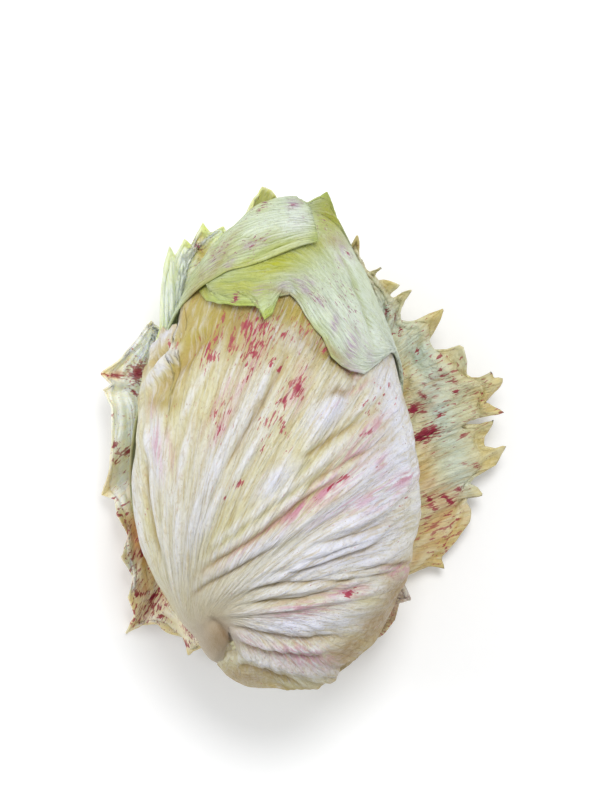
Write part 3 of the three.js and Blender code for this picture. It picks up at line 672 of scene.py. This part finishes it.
shoulderLeaf = {
    "name": "shoulderLeaf", "node": "shoulder_leaf", "slot": "green_leaf", "material": greenLeaf, "seed": 32,
    "columns": 250, "rows": 170, "neck": 0.12, "mapSize": (330, 240), "veinsAcross": True, "blade": 0.9,
    "petiole": 2, "ruffle": (7, 0.25), "edgeFrom": 0.94, "ribEnds": (0.05, 0.3), "crumple": (12, 0.6),
    "shape": [
        [(-44, -100, 2.5), (-32, -112, 3.5), (-30, -128, 3.5)],
        [(26, -110, 2.5), (20, -128, 3.5), (4, -146, 3.5)],
        [(80, -77, 2), (94, -96, 3.5), (94, -118, 3.5)],
        [(112, -20, 1), (126, -28, 2.6), (146, -36, 3.5)],
        [(108, 18, 1.2), (110, 24, 2), (116, 32, 2.8), (126, 42, 3.5)],
        [(90, 34, 1.4), (66, 34, 2.6), (40, 46, 2.8), (26, 60, 2.6), (34, 72, 3), (66, 78, 4), (100, 72, 4)],
        [(78, 34, 1.6), (68, 31, 2.2), (54, 27, 2.4), (44, 27, 2.4), (33, 32, 2.8), (20, 40, 3.6),
         (8, 44, 4.6), (-8, 44, 6), (-22, 45, 6.4), (-40, 49, 5.6), (-36, 60, 3.8), (0, 72, 3.4),
         (16, 78, 4.2), (30, 82, 7), (42, 82, 5.5), (70, 80, 4.5)],
        [(0, 0, 0)],
    ],
    "margin": [
        (72, 35, 1.6), (59, 28, 1.4), (50, 23, 1.2), (42, 20, 1.2), (35, 20, 1.5), (30, 21, 1.8), (25, 23, 2),
        (21, 28, 2), (17, 30, 2.2), (10, 36, 2.4), (4, 39, 2.8), (-2, 38, 3.4), (-4, 33, 4), (-7, 31, 4.4),
        (-10, 34, 4.4), (-12, 35, 4.4), (-23, 36, 4.6), (-33, 38, 4.4), (-42, 41, 4), (-51, 47, 3.5),
        (-48, 64, 3.5), (-10, 76, 4), (12, 80, 5), (22, 86, 9), (26, 86, 12.5), (33, 84, 9), (38, 84, 6),
        (54, 84, 5),
    ],
    "relief": shoulderRelief,
    # the first two olive marks sit in the hollow under the crown leaf's flap and are painted shade there,
    # darkening the leaf's own olive
    "green": [(275, 266, 22, 7, 22, 1), (310, 248, 12, 6, 30, 1), (330, 220, 15, 8, 100, 1),
              (330, 240, 6, 5, 0, 0.9), (242, 288, 16, 6, 0, 0.85), (222, 286, 6, 3, 30, 0.8)],
    "pale": [(352, 330, 24, 10, 115, 1), (372, 335, 26, 8, 112, 1), (368, 362, 16, 9, 27, 1),
             (392, 350, 16, 7, 100, 1), (345, 262, 12, 5, 120, 0.8), (310, 310, 9, 5, -30, 0.8),
             (292, 290, 6, 4, -30, 0.8)],
    # the tan marks along the lower left margin are painted shade, where that margin lies over the front leaf
    "tan": [(385, 625, 16, 9, 55, 1), (405, 585, 10, 5, 70, 1), (350, 655, 14, 6, 25, 1),
            (202, 294, 4, 3, 0, 0.6), (335, 242, 5, 3, 0, 0.7), (284, 294, 6, 1.4, -20, 0.8),
            (298, 312, 10, 2, -60, 0.75), (316, 338, 10, 2, -55, 0.8), (334, 354, 11, 1.8, -45, 0.8)],
    "stains": [(334, 325, 5, 1.6, 85, 1), (351, 346, 8, 3, 80, 1), (320, 303, 5, 2, -40, 0.8),
               (303, 288, 6, 2.4, -40, 0.9), (310, 283, 4, 2, -40, 0.7), (262, 292, 4, 2, 10, 0.7),
               (286, 287, 4, 2, 0, 0.7), (345, 252, 4, 2, -50, 0.8), (340, 262, 3, 2, -50, 0.6),
               (352, 372, 6, 3, -40, 0.7), (368, 355, 9, 2, 110, 0.5)],
    "blotches": [(237, 299, 3, 1.5, 80, 1), (347, 254, 2.4, 1, -50, 0.9), (258, 303, 1.6, 1, 60, 0.7),
                 (345, 300, 16, 5, 112, 0.4), (318, 300, 6, 3, -40, 0.5), (325, 225, 8, 4, 100, 0.35)],
}
fanLeaf(shoulderLeaf)
print("shoulder leaf done")


# the leaf that comes up the left flank and folds its tip over the head
def crownRelief(across, out, points):
    ridges = folds(
        points, 1.6,
        [(216, 277), (246, 270), (270, 260), (295, 248), (316, 242)],
        [(212, 262), (226, 242), (246, 222), (262, 210), (280, 204)],
        [(220, 266), (232, 248), (252, 236), (280, 226), (306, 222)],
        [(206, 270), (216, 246), (236, 224)],
    )
    creases = folds(
        points, 1.1,
        [(219, 274), (228, 252), (243, 239), (270, 244), (296, 236), (310, 234)],
        [(209, 268), (220, 244), (240, 221), (258, 208)],
        [(248, 262), (276, 250), (300, 238)],
    )
    bend = 0.4 * wander(across * 3, out * 2, 41)
    veins = crests(11 * across + bend)
    fine = crests(37 * across + bend, 1.1)
    height = 0.9 * ridges - 0.9 * creases + 0.4 * veins + 0.3 * fine
    return height, 0.42 + 0.35 * ridges - 0.5 * creases + 0.2 * (veins - 0.5) + 0.25 * (fine - 0.5)


crownLeaf = {
    "name": "crownLeaf", "node": "crown_leaf", "slot": "green_leaf", "material": greenLeaf, "seed": 42,
    "columns": 150, "rows": 150, "neck": 0.16, "mapSize": (120, 230), "blade": 0.9, "petiole": 2,
    "ruffle": (6, 0.3), "edgeFrom": 0.95, "ribEnds": (0.05, 0.3), "crumple": (13, 0.8),
    "shape": [
        [(-84, -106, 3.5), (-86, -96, 3.5), (-80, -86, 3.5)],
        [(-134, -62, 3.5), (-116, -58, 3.5), (-98, -51, 3.5)],
        [(-150, 6, 3.5), (-124, 8, 3.5), (-100, 8, 3.5)],
        [(-116, 80, 3.5), (-100, 64, 3.6), (-80, 42, 3.2)],
        [(-60, 85, 4), (-54, 72, 6.5), (-47, 58, 8), (-38, 46, 7)],
        [(-30, 81, 6.5), (-25, 72, 9), (-20, 60, 9.5), (-12, 47, 7)],
        [(3, 76, 8), (11, 70, 9), (15, 62, 9), (18, 55, 7.5)],
    ],
    "relief": crownRelief,
    # the first olive marks are the flap's own yellow-green rim; the last olive mark and the tan marks, at the
    # left end where the leaf bends down the flank, are painted shade in that fold over the leaf's own olive
    "green": [(245, 268, 15, 3.4, 18, 0.9), (290, 247, 17, 4.2, 25, 1), (315, 232, 6, 2, 75, 1),
              (260, 200, 7, 6, 90, 0.7), (232, 252, 13, 6, 40, 0.45), (264, 238, 15, 5, 25, 0.4),
              (228, 262, 4, 8, -30, 0.4), (205, 285, 8, 6, 60, 0.6)],
    "pale": [(294, 222, 9, 8, 0, 1), (268, 222, 14, 6, 30, 0.7)],
    "tan": [(202, 276, 4, 2, 100, 0.5), (196, 298, 6, 3.5, 70, 0.9), (211, 250, 7, 1.4, 110, 0.5),
            (218, 268, 10, 1.6, 58, 0.6), (230, 242, 9, 1.4, 48, 0.45), (134, 470, 24, 4, 88, 0.8)],
    "stains": [(293, 206, 3, 2.4, 0, 1), (253, 246, 10, 2.4, 20, 0.6), (230, 266, 5, 2, 60, 0.7),
               (215, 262, 8, 2, 55, 0.7), (300, 222, 4, 3, 30, 0.4)],
    "blotches": [(262, 205, 6, 4, 40, 0.5), (255, 245, 10, 4, 30, 0.4), (222, 250, 9, 3, 45, 0.45),
                 (294, 206, 3, 2, 20, 0.6)],
}
fanLeaf(crownLeaf)


# plain wrappers, folded closely over each other
def wrapRelief(across, out, points):
    bend = 0.5 * wander(across * 3, out * 2, 51)
    veins = crests(9 * across + bend)
    fine = crests(31 * across + bend, 1.1)
    return 0.8 * veins * ease(out, 0.02, 0.3) + 0.3 * fine, 0.25 + 0.4 * veins + 0.35 * fine


leftWrap = {
    "name": "leftWrap", "node": "left_wrap_leaf", "slot": "cream_leaf", "material": creamLeaf, "seed": 52,
    "columns": 90, "rows": 74, "mapSize": (120, 160), "blade": 0.9, "petiole": 1.8, "crumple": (11, 0.7),
    "shape": [
        [(-84, -90, -2.8), (-73, -88, -2.8), (-64, -86, -2.8)],
        [(-86, -44, -1.5), (-72, -36, -2.8), (-50, -30, -2.8)],
        [(-96, -14, -1), (-78, 0, -2.8), (-50, 6, -2.8)],
        [(-100, 22, -2.8), (-76, 34, -2.8), (-46, 38, -2.8)],
    ],
    "relief": wrapRelief,
    "green": lambda points, out: 0.5 * ease(out, 0.5, 1),
}
lowerWrap = {
    "name": "lowerWrap", "node": "lower_wrap_leaf", "slot": "straw_leaf", "material": strawLeaf, "seed": 53,
    "columns": 150, "rows": 70, "mapSize": (150, 110), "blade": 0.9, "petiole": 1.8, "crumple": (8, 1.6),
    "ruffle": (12, 0.5), "edgeFrom": 0.6,
    "shape": [
        [(-47, -99, -2.8), (-38, -102, -2.8), (-33, -108, -2.8)],
        [(-31, -60, -2.8), (0, -72, -2.8), (14, -94, -2.8)],
        [(20, -40, -2.8), (34, -60, -2.8), (40, -84, -2.8)],
        [(50, -26, -2.8), (59, -46, -2.8), (56, -72, -2.8), (40, -96, -2.8)],
    ],
    "relief": wrapRelief,
    "tan": [(376, 636, 20, 9, 52, 1), (348, 662, 10, 6, 40, 0.9)],
}
for wrapper in (leftWrap, lowerWrap):
    fanLeaf(wrapper)


def innerRelief(across, out, points):
    veins = crests(8 * across + 0.3 * np.sin(5 * out))
    return 0.4 * veins * ease(out, 0.05, 0.4), 0.4 + 0.5 * veins


# a leaf measured in degrees round the stump and away from it. Each row has half its span, how far away
# its middle lies and how much less far its two sides do.
def innerLeaf(name, node, middle, halfSpan, tip, depth, seed):
    rows = [(halfSpan, 13, 0), (halfSpan, 0.4 * tip, 10), (halfSpan, 0.75 * tip, 18),
            (0.9 * halfSpan, tip, 26)]
    sides = (-1, -0.5, 0, 0.5, 1)
    return {
        "name": name, "node": node, "slot": "inner_leaf", "material": innerLeafSkin, "seed": seed,
        "columns": 64, "rows": 52, "mapSize": (1.6 * halfSpan, 1.7 * tip), "blade": 0.8, "petiole": 1.2,
        "ruffle": (6, 0.25), "edgeFrom": 0.9, "neck": 0.2, "direction": fromStump,
        "shape": [[(middle + side * half, away - drop * side * side, depth) for side in sides]
                  for half, away, drop in rows],
        "relief": innerRelief,
    }


backWrapRight = {**innerLeaf("backWrapRight", "back_wrap_right_leaf", 126, 46, 158, -5.5, 61),
                 "slot": "cream_leaf", "material": creamLeaf, "columns": 90, "rows": 84, "blade": 0.9,
                 "petiole": 1.8, "relief": wrapRelief, "crumple": (12, 0.7)}
backWrapLeft = {
    "name": "backWrapLeft", "node": "back_wrap_left_leaf", "slot": "green_leaf", "material": shadedLeaf,
    "seed": 62, "columns": 100, "rows": 80, "mapSize": (150, 210), "blade": 0.9, "petiole": 1.8,
    "crumple": (12, 0.7), "direction": fromStump,
    "shape": [[(turn, away, -5.5) for turn in (-180, -154, -126, -100, -74)] for away in (13, 50, 88)]
             + [[(0, 0, 0)]],
    "margin": [(-178, 96, -5.5), (-160, 108, -5.5), (-144, 117, -5.5), (-136, 124, 2), (-129, 128, 9),
               (-122, 127, 13.5), (-116, 123, 9), (-112, 117, 0), (-104, 110, -5.5), (-90, 102, -5.5),
               (-74, 96, -5.5)],
    "relief": wrapRelief,
    "green": lambda points, out: 0.6 * ease(out, 0.7, 1),
}
for wrapper in (backWrapRight, backWrapLeft):
    fanLeaf(wrapper)
for index, (middle, depth) in enumerate([(20, -15.5), (215, -12.2), (110, -8.9)]):
    fanLeaf(innerLeaf(f"innerLeaf{index + 1}", f"inner_leaf_{index + 1}", middle, 82, 166, depth, 70 + index))
print("wrappers and inner leaves done")


# side veins run obliquely from the rib, the leaf between them puffs up and wrinkles
def spreadRelief(sideVeins, ridge, puff, seed):
    def relief(across, out, upwards):
        turn = np.where(upwards, 0, 3.7)
        bend = 0.35 * wander(across * 4 + turn, out * 2, seed)
        wave = sideVeins * (across - 0.12 * out) + bend
        pleats = 1 - crests(wave, 1)
        fine = crests(3.4 * wave + 1.5 * out + 0.4 * wander(across * 9 + turn, out * 5, seed + 1), 1.1)
        lumps = wander(across * 7 + turn, out * 5, seed + 2)
        grow = np.sin(math.pi * np.clip(out, 0, 1) ** 0.8) ** 0.7
        height = ridge * pleats * grow + 0.8 * fine * grow + puff * lumps * ease(out, 0.25, 0.7)
        return height, 0.15 + 0.45 * pleats + 0.35 * fine
    return relief


rightOuter = {
    "name": "rightOuter", "node": "right_outer_leaf", "slot": "straw_leaf", "material": strawLeaf,
    "columns": 190, "rows": 76, "mapSize": (420, 70), "blade": 0.9, "petiole": 1.6, "layer": 9.5, "arch": 2,
    "crumple": (9, 1.6),
    "rib": [(-12, -80, 60), (14, -36, 30), (33, 8, 16), (42, 46, 22), (38, 80, 30)],
    "left": [(-20, -70, 60), (-12, -35, 20), (-10, 0, 20), (4, 40, 20), (24, 78, 26), (34, 90, 32)],
    "right": [(-2, -86, 60), (14, -81, 60), (30, -72, 12)] + [(x, y, z) for (x, y), z in zip(seen(
        (417, 562), (430, 570), (438, 566), (447, 571), (442, 560), (456, 545), (466, 532), (472, 522),
        (473, 512), (468, 502), (476, 493), (486, 497), (480, 490), (471, 485), (476, 478), (490, 471),
        (499, 466), (504, 456), (509, 446), (500, 450), (486, 447), (487, 438), (492, 430), (497, 420),
        (480, 426), (464, 424), (466, 419), (480, 416), (495, 414), (507, 413), (495, 407), (487, 402),
        (493, 396), (501, 388), (506, 378), (496, 378), (494, 371), (489, 378), (474, 378), (468, 374),
        (469, 362), (464, 344), (448, 349), (433, 350), (428, 341), (436, 330), (442, 319), (446, 307),
        (430, 313), (418, 320), (404, 323), (397, 320), (399, 311), (405, 300), (414, 288), (404, 291),
        (394, 298), (385, 301), (391, 291), (402, 284), (386, 279), (377, 281), (373, 277), (375, 271),
        (383, 266), (371, 272), (361, 276), (356, 262), (359, 247), (358, 232), (352, 243), (349, 256)),
        (5, 3, 4, 6, 5, 8, 9, 9, 8, 9, 8, 12, 9, 10, 10, 12, 11, 10, 15, 12, 12, 14, 13, 18, 14, 14, 15, 15,
         17, 20, 16, 17, 16, 17, 22, 18, 22, 19, 18, 18, 21, 24, 20, 19, 20, 22, 24, 28, 22, 21, 21, 22, 24,
         26, 31, 27, 25, 25, 28, 33, 28, 27, 28, 30, 35, 30, 29, 31, 35, 39, 36, 32))] + [(34, 90, 32)],
    "relief": spreadRelief(10, 2.2, 1.3, 82),
    "green": [(440, 540, 22, 11, 55, 1), (412, 560, 10, 6, 40, 1), (425, 470, 14, 5, 95, 0.6),
              (410, 390, 8, 5, 60, 0.6), (372, 290, 6, 3, -50, 0.4)],
    "pale": [(440, 410, 26, 6, -70, 1), (425, 360, 22, 7, -60, 1), (385, 310, 16, 5, -55, 0.9),
             (460, 470, 16, 7, -70, 0.8), (470, 360, 8, 5, 0, 0.4)],
    "stains": [(430, 400, 12, 3, 70, 0.5), (445, 500, 12, 6, -40, 0.6), (430, 450, 8, 2, -20, 0.5)],
    "blotches": [(416, 409, 4.6, 3.8, 30, 1), (430, 433, 6.6, 3.4, 20, 1), (422, 438, 5, 3, 0, 1),
                 (441, 414, 2, 1.8, 0, 0.9), (425, 396, 2.4, 1.2, -30, 1), (461, 490, 2.4, 2, 60, 1),
                 (449, 501, 5, 1.4, -35, 1), (430, 500, 5, 1.4, -35, 1), (402, 330, 2.4, 1.2, 80, 0.9),
                 (402, 372, 2, 1.6, 20, 0.9), (390, 334, 3, 1, 10, 0.9), (442, 375, 3.4, 1, 10, 0.9),
                 (440, 357, 4, 0.9, 12, 0.8), (458, 392, 2, 1.2, 10, 0.9), (419, 350, 1.6, 1, 60, 0.8),
                 (474, 407, 2.4, 0.9, 10, 0.9), (466, 436, 2.8, 1, 15, 0.8), (480, 467, 3, 1.2, -10, 0.9),
                 (468, 465, 2.4, 1.2, -20, 0.8), (502, 412, 2, 1, 0, 1), (388, 311, 3, 1.4, 70, 0.8),
                 (395, 316, 4, 1, 70, 0.8), (433, 527, 3, 1, -60, 0.9), (436, 512, 4, 1.2, -60, 0.9),
                 (440, 530, 18, 10, -60, 0.5), (450, 380, 22, 12, 10, 0.3), (480, 400, 16, 14, 10, 0.25)],
}
leftOuter = {
    "name": "leftOuter", "node": "left_outer_leaf", "slot": "straw_leaf", "material": shadeLiftedStrawLeaf,
    "columns": 170, "rows": 70, "mapSize": (330, 44), "blade": 0.9, "petiole": 1.6, "layer": 9.5,
    "crumple": (8, 1.5),
    "rib": [(-38, -73, 60), (-44, -50, 14), (-47, -10, 12), (-50, 20, 14), (-54, 42, 20)],
    "left": [
        (-31, -86, 9), (-36, -88, 8), (-38, -90, 5), (-40, -82, 8), (-47, -80, 8), (-52, -76, 14),
        (-58, -77, 4), (-66, -81, 3), (-61, -74, 12), (-64, -64, 22), (-62, -56, 12), (-67, -47, 24),
        (-64, -38, 14), (-69, -28, 24), (-70, -22, 16), (-76, -20, 9), (-74, -15, 18), (-72, -8, 27),
        (-71, 4, 30), (-71, 18, 30), (-75, 26, 20), (-70, 28, 30), (-76, 33, 29), (-68, 38, 33),
        (-60, 48, 30), (-54, 56, 26),
    ],
    "right": [(-34, -68, 60), (-31, -50, 14), (-30, -15, 12), (-34, 15, 14), (-42, 44, 20), (-54, 56, 26)],
    "relief": spreadRelief(9, 1.1, 0.8, 85),
    # the first two orange marks lie in a recess of the crumpled leaf and are painted shade there, over its
    # own orange
    "green": [(138, 545, 16, 7, -70, 1), (150, 560, 12, 5, -60, 0.9), (108, 475, 6, 3, 80, 0.6)],
    "pale": [(128, 425, 22, 9, 90, 1), (130, 385, 14, 9, 60, 1), (150, 350, 16, 9, 45, 1),
             (120, 480, 16, 5, 85, 0.8), (126, 560, 16, 3, -80, 0.6)],
    "tan": [(134, 530, 6, 5, -60, 0.6), (142, 548, 7, 4, -60, 0.6), (133, 478, 8, 2, 80, 0.7)],
    "stains": [(113, 375, 6, 2, 5, 1), (140, 540, 8, 4, -20, 0.9), (142, 552, 8, 4, 20, 0.9),
               (155, 605, 9, 5, 50, 0.6), (135, 592, 8, 4, 10, 0.6)],
    "blotches": [(113, 446, 2.8, 2, 10, 1), (127, 452, 5.4, 2.4, 12, 1), (136, 372, 6, 5, 60, 1),
                 (112, 375, 6, 1, -8, 1), (131, 391, 4, 1.1, -50, 1), (139, 418, 1.6, 1.2, 0, 1),
                 (141, 541, 4, 1.6, -10, 0.9), (140, 555, 4, 2, 20, 0.9), (152, 600, 5, 2.4, 50, 0.9),
                 (136, 597, 4, 1.4, 10, 0.9), (160, 590, 5, 1.4, 60, 0.9), (183, 648, 2.6, 2.4, 0, 1),
                 (188, 630, 7, 2.2, -60, 0.95), (158, 620, 2.4, 1.4, 0, 0.8), (112, 500, 2, 1, 0, 0.8),
                 (114, 462, 2.4, 1.4, 20, 0.8), (122, 472, 2, 1, 0, 0.6), (150, 610, 18, 8, 40, 0.5),
                 (120, 520, 14, 4, 90, 0.4), (130, 570, 12, 5, -70, 0.4)],
}
backLeft = {
    "name": "backLeft", "node": "back_left_leaf", "slot": "green_leaf", "material": shadedLeaf,
    "columns": 112, "rows": 50, "mapSize": (350, 40), "blade": 0.9, "petiole": 1.6, "layer": 6.5,
    "crumple": (10, 1.4),
    "rib": [(-36, -66, 60), (-34, -30, 30), (-40, 20, 30), (-42, 58, 40), (-40, 84, 52)],
    "left": [(-43, -66, 60), (-50, -40, 34), (-56, 0, 30), (-54, 40, 34), (-50, 52, 42), (-49, 70, 46),
             (-48, 80, 50), (-45.5, 88, 54), (-43, 83, 50), (-39, 91, 56), (-36, 88, 52), (-31, 98, 58),
             (-28, 93, 54), (-22, 96, 54)],
    "right": [(-28, -62, 60), (-18, -30, 30), (-18, 20, 30), (-20, 60, 36), (-16, 84, 46), (-22, 96, 54)],
    "relief": spreadRelief(6, 1, 0.5, 88),
    # the olive marks are painted shade, in the leaf's fold and in the dark gap near its lower end
    "green": [(200, 250, 12, 4, 100, 0.9), (195, 290, 8, 4, 60, 0.9), (183, 320, 6, 3, 90, 1)],
    "pale": [(172, 310, 22, 5, 88, 1), (180, 275, 8, 5, 0, 0.6)],
    "blotches": [(205, 270, 4, 1.2, -50, 1), (198, 246, 3, 1.4, -50, 0.8), (200, 258, 8, 4, 90, 0.4)],
}
underLeaf = {
    "name": "underLeaf", "node": "under_leaf", "slot": "straw_leaf", "material": bruisedLeaf,
    "columns": 96, "rows": 46, "mapSize": (180, 50), "blade": 0.9, "petiole": 1.6, "layer": 6.5,
    "crumple": (8, 1.8),
    "rib": [(-10, -86, 60), (8, -76, 30), (24, -66, 26), (38, -56, 30), (48, -46, 34)],
    "left": [(-14, -78, 60), (2, -62, 30), (16, -50, 26), (30, -38, 30), (44, -32, 34), (54, -36, 38)],
    "right": [(-4, -92, 60), (14, -91, 30), (26, -90, 26), (36, -87, 26), (47, -80, 26), (52, -74, 30),
              (54, -66, 32), (59, -65, 32), (56, -58, 36), (58, -48, 40), (54, -36, 38)],
    "relief": spreadRelief(6, 1.2, 0.7, 91),
    "pale": [(408, 595, 6, 4, 60, 1), (395, 590, 5, 9, 60, 0.5)],
    "stains": [(355, 650, 18, 3, 25, 0.5), (392, 610, 9, 3, 60, 0.6)],
    "blotches": [(370, 640, 16, 5, 35, 0.4)],
}
for leaf in (rightOuter, leftOuter, backLeft, underLeaf):
    spreadLeaf(leaf)
print("spread leaves done")

# the core of tight small leaves: five overlapping edges wind round it
core = {"segments": 96, "rings": 60, "depth": -18.5, "laps": 5, "twist": 1.2, "step": 1.6}
deselect()
bpy.ops.mesh.primitive_uv_sphere_add(segments=core["segments"], ring_count=core["rings"], radius=1)
heart = bpy.context.object
heart.name = "heart"
ball = readPoints(heart)
ball /= np.linalg.norm(ball, axis=1)[:, None]
turn = np.arctan2(ball[:, 2], ball[:, 0]) / (2 * math.pi) + 1
lap = np.mod(turn * core["laps"] + core["twist"] * ball[:, 1], 1)
rise = core["step"] * lap * (1 - ball[:, 1] ** 4)
setPoints(heart, onHead(tuple(ball.T), core["depth"] - core["step"] + rise))
# the crest map paints shade at the foot of each lap, under the edge that overlaps it, and a painted highlight
# along each raised edge
paint(heart, "crest", lap)
bpy.ops.object.shade_smooth()
heart.data.materials.append(innerLeafSkin)
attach(heart, "root")
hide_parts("heart")

# Cut stem: corky pith that dried after the knife, dull tan and mottled brown where it has oxidised.
stemCut = bpy.data.materials.new("cutStemPith")
stemCut.use_nodes = True
tree = stemCut.node_tree
tree.nodes.clear()
place = addNode(tree, "ShaderNodeTexCoord")
pith = addNode(tree, "ShaderNodeTexNoise", {}, {"Scale": 1000 / 3, "Detail": 4},
               {"Vector": place.outputs["Object"]})
tone = addNode(tree, "ShaderNodeValToRGB", {}, {}, {"Fac": pith.outputs["Fac"]})
for stop, position, colour in zip(tone.color_ramp.elements, (0.35, 0.65), ("#8f6d48", "#cdb58c")):
    stop.position = position
    stop.color = linear(colour)
relief = addNode(tree, "ShaderNodeBump", {}, {"Strength": 0.6, "Distance": 0.0006},
                 {"Height": pith.outputs["Fac"]})
skin = addNode(tree, "ShaderNodeBsdfPrincipled", {}, {"Roughness": 0.75, "IOR": 1.4},
               {"Base Color": tone.outputs["Color"], "Normal": relief.outputs["Normal"]})
addNode(tree, "ShaderNodeOutputMaterial", {}, {}, {"Surface": skin.outputs[0]})

stump = {"radius": 8, "from": -17.5, "to": 7, "sides": 48, "cuts": 11, "dish": 0.8}
axis = tuple(np.array([value]) for value in stumpAxis)
inside, outside = onHead(axis, stump["from"])[0], onHead(axis, stump["to"])[0]
stumpLength = float(np.linalg.norm(outside - inside))
# how much wider than its radius the stem is, and how far along it
profile = [(-1.5, 0), (-0.5, 0.3 * stumpLength), (0, 0.6 * stumpLength), (0.8, 0.8 * stumpLength),
           (0.2, 0.87 * stumpLength), (0.7, stumpLength - 1), (-0.3, stumpLength)]
deselect()
bpy.ops.mesh.primitive_cylinder_add(vertices=stump["sides"], radius=1, depth=1, end_fill_type="TRIFAN")
cut = bpy.context.object
cut.name = "stump"
bpy.ops.object.mode_set(mode="EDIT")
bpy.ops.mesh.select_all(action="SELECT")
bpy.ops.mesh.subdivide(number_cuts=stump["cuts"], quadcorner="INNERVERT")
bpy.ops.object.mode_set(mode="OBJECT")
tube = readPoints(cut)
height = (tube[:, 2] + 0.5) * stumpLength
reach = np.interp(height, [at for extra, at in profile], [stump["radius"] + extra for extra, at in profile])
way = (outside - inside) / stumpLength
across1 = np.cross(way, [1, 0, 0])
across1 /= np.linalg.norm(across1)
across2 = np.cross(way, across1)
far = np.hypot(tube[:, 0], tube[:, 1])
height = height - stump["dish"] * (tube[:, 2] > 0.4999) * (1 - far) ** 1.2
setPoints(cut, inside + height[:, None] * way + (reach * tube[:, 0])[:, None] * across1
          + (reach * tube[:, 1])[:, None] * across2)
bpy.ops.object.shade_smooth()
cut.data.materials.append(stemCut)
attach(cut, "root")
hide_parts("stump")
print("heart and stump done")

# white table, matte laminate, bright enough to burn out to white round the head
table = bpy.data.materials.new("whiteTable")
table.use_nodes = True
tree = table.node_tree
tree.nodes.clear()
place = addNode(tree, "ShaderNodeTexCoord")
speck = addNode(tree, "ShaderNodeTexNoise", {}, {"Scale": 60, "Detail": 2},
                {"Vector": place.outputs["Object"]})
rough = addNode(tree, "ShaderNodeMapRange", {}, {3: 0.85, 4: 0.95}, {0: speck.outputs["Fac"]})
skin = addNode(tree, "ShaderNodeBsdfPrincipled", {},
               {"Base Color": (0.93, 0.93, 0.93, 1), "Specular IOR Level": 0.1,
                "Emission Color": (1, 1, 1, 1), "Emission Strength": 0.12},
               {"Roughness": rough.outputs[0]})
addNode(tree, "ShaderNodeOutputMaterial", {}, {}, {"Surface": skin.outputs[0]})
deselect()
bpy.ops.mesh.primitive_plane_add(size=4, location=(0, 0, 0))
floor = bpy.context.object
floor.name = "table"
floor.data.materials.append(table)

world = bpy.data.worlds.new("room")
bpy.context.scene.world = world
world.use_nodes = True
background = world.node_tree.nodes["Background"]
background.inputs["Color"].default_value = (0.985, 0.99, 1, 1)
background.inputs["Strength"].default_value = 0.56

lamps = [
    {"name": "windowLight", "place": (0.25, 0.65, 1.5), "size": 0.7, "power": 14, "tint": (0.99, 0.995, 1)},
    {"name": "leftFill", "place": (-1.1, 0.2, 0.8), "size": 0.8, "power": 5.5, "tint": (0.96, 0.98, 1)},
]
for lamp in lamps:
    bpy.ops.object.light_add(type="AREA", location=lamp["place"])
    light = bpy.context.object
    light.name = lamp["name"]
    light.data.shape = "DISK"
    light.data.size = lamp["size"]
    light.data.energy = lamp["power"]
    light.data.color = lamp["tint"]
    aim = -np.array(lamp["place"])
    flat = math.hypot(aim[0], aim[1])
    light.rotation_euler = (math.atan2(flat, -aim[2]), 0, math.atan2(aim[1], aim[0]) - math.pi / 2)

# straight down from three metres, where 800 pixels take in 344 mm at the height of the outline
view = {"place": (0.01075, 0.0215, 3.0), "lens": 308, "farthest": 20}
bpy.ops.object.camera_add(location=view["place"], rotation=(0, 0, 0))
camera = bpy.context.object
camera.data.lens = view["lens"]
camera.data.clip_end = view["farthest"]
bpy.context.scene.camera = camera
bpy.context.scene.view_settings.view_transform = "Standard"

print("stage ready")
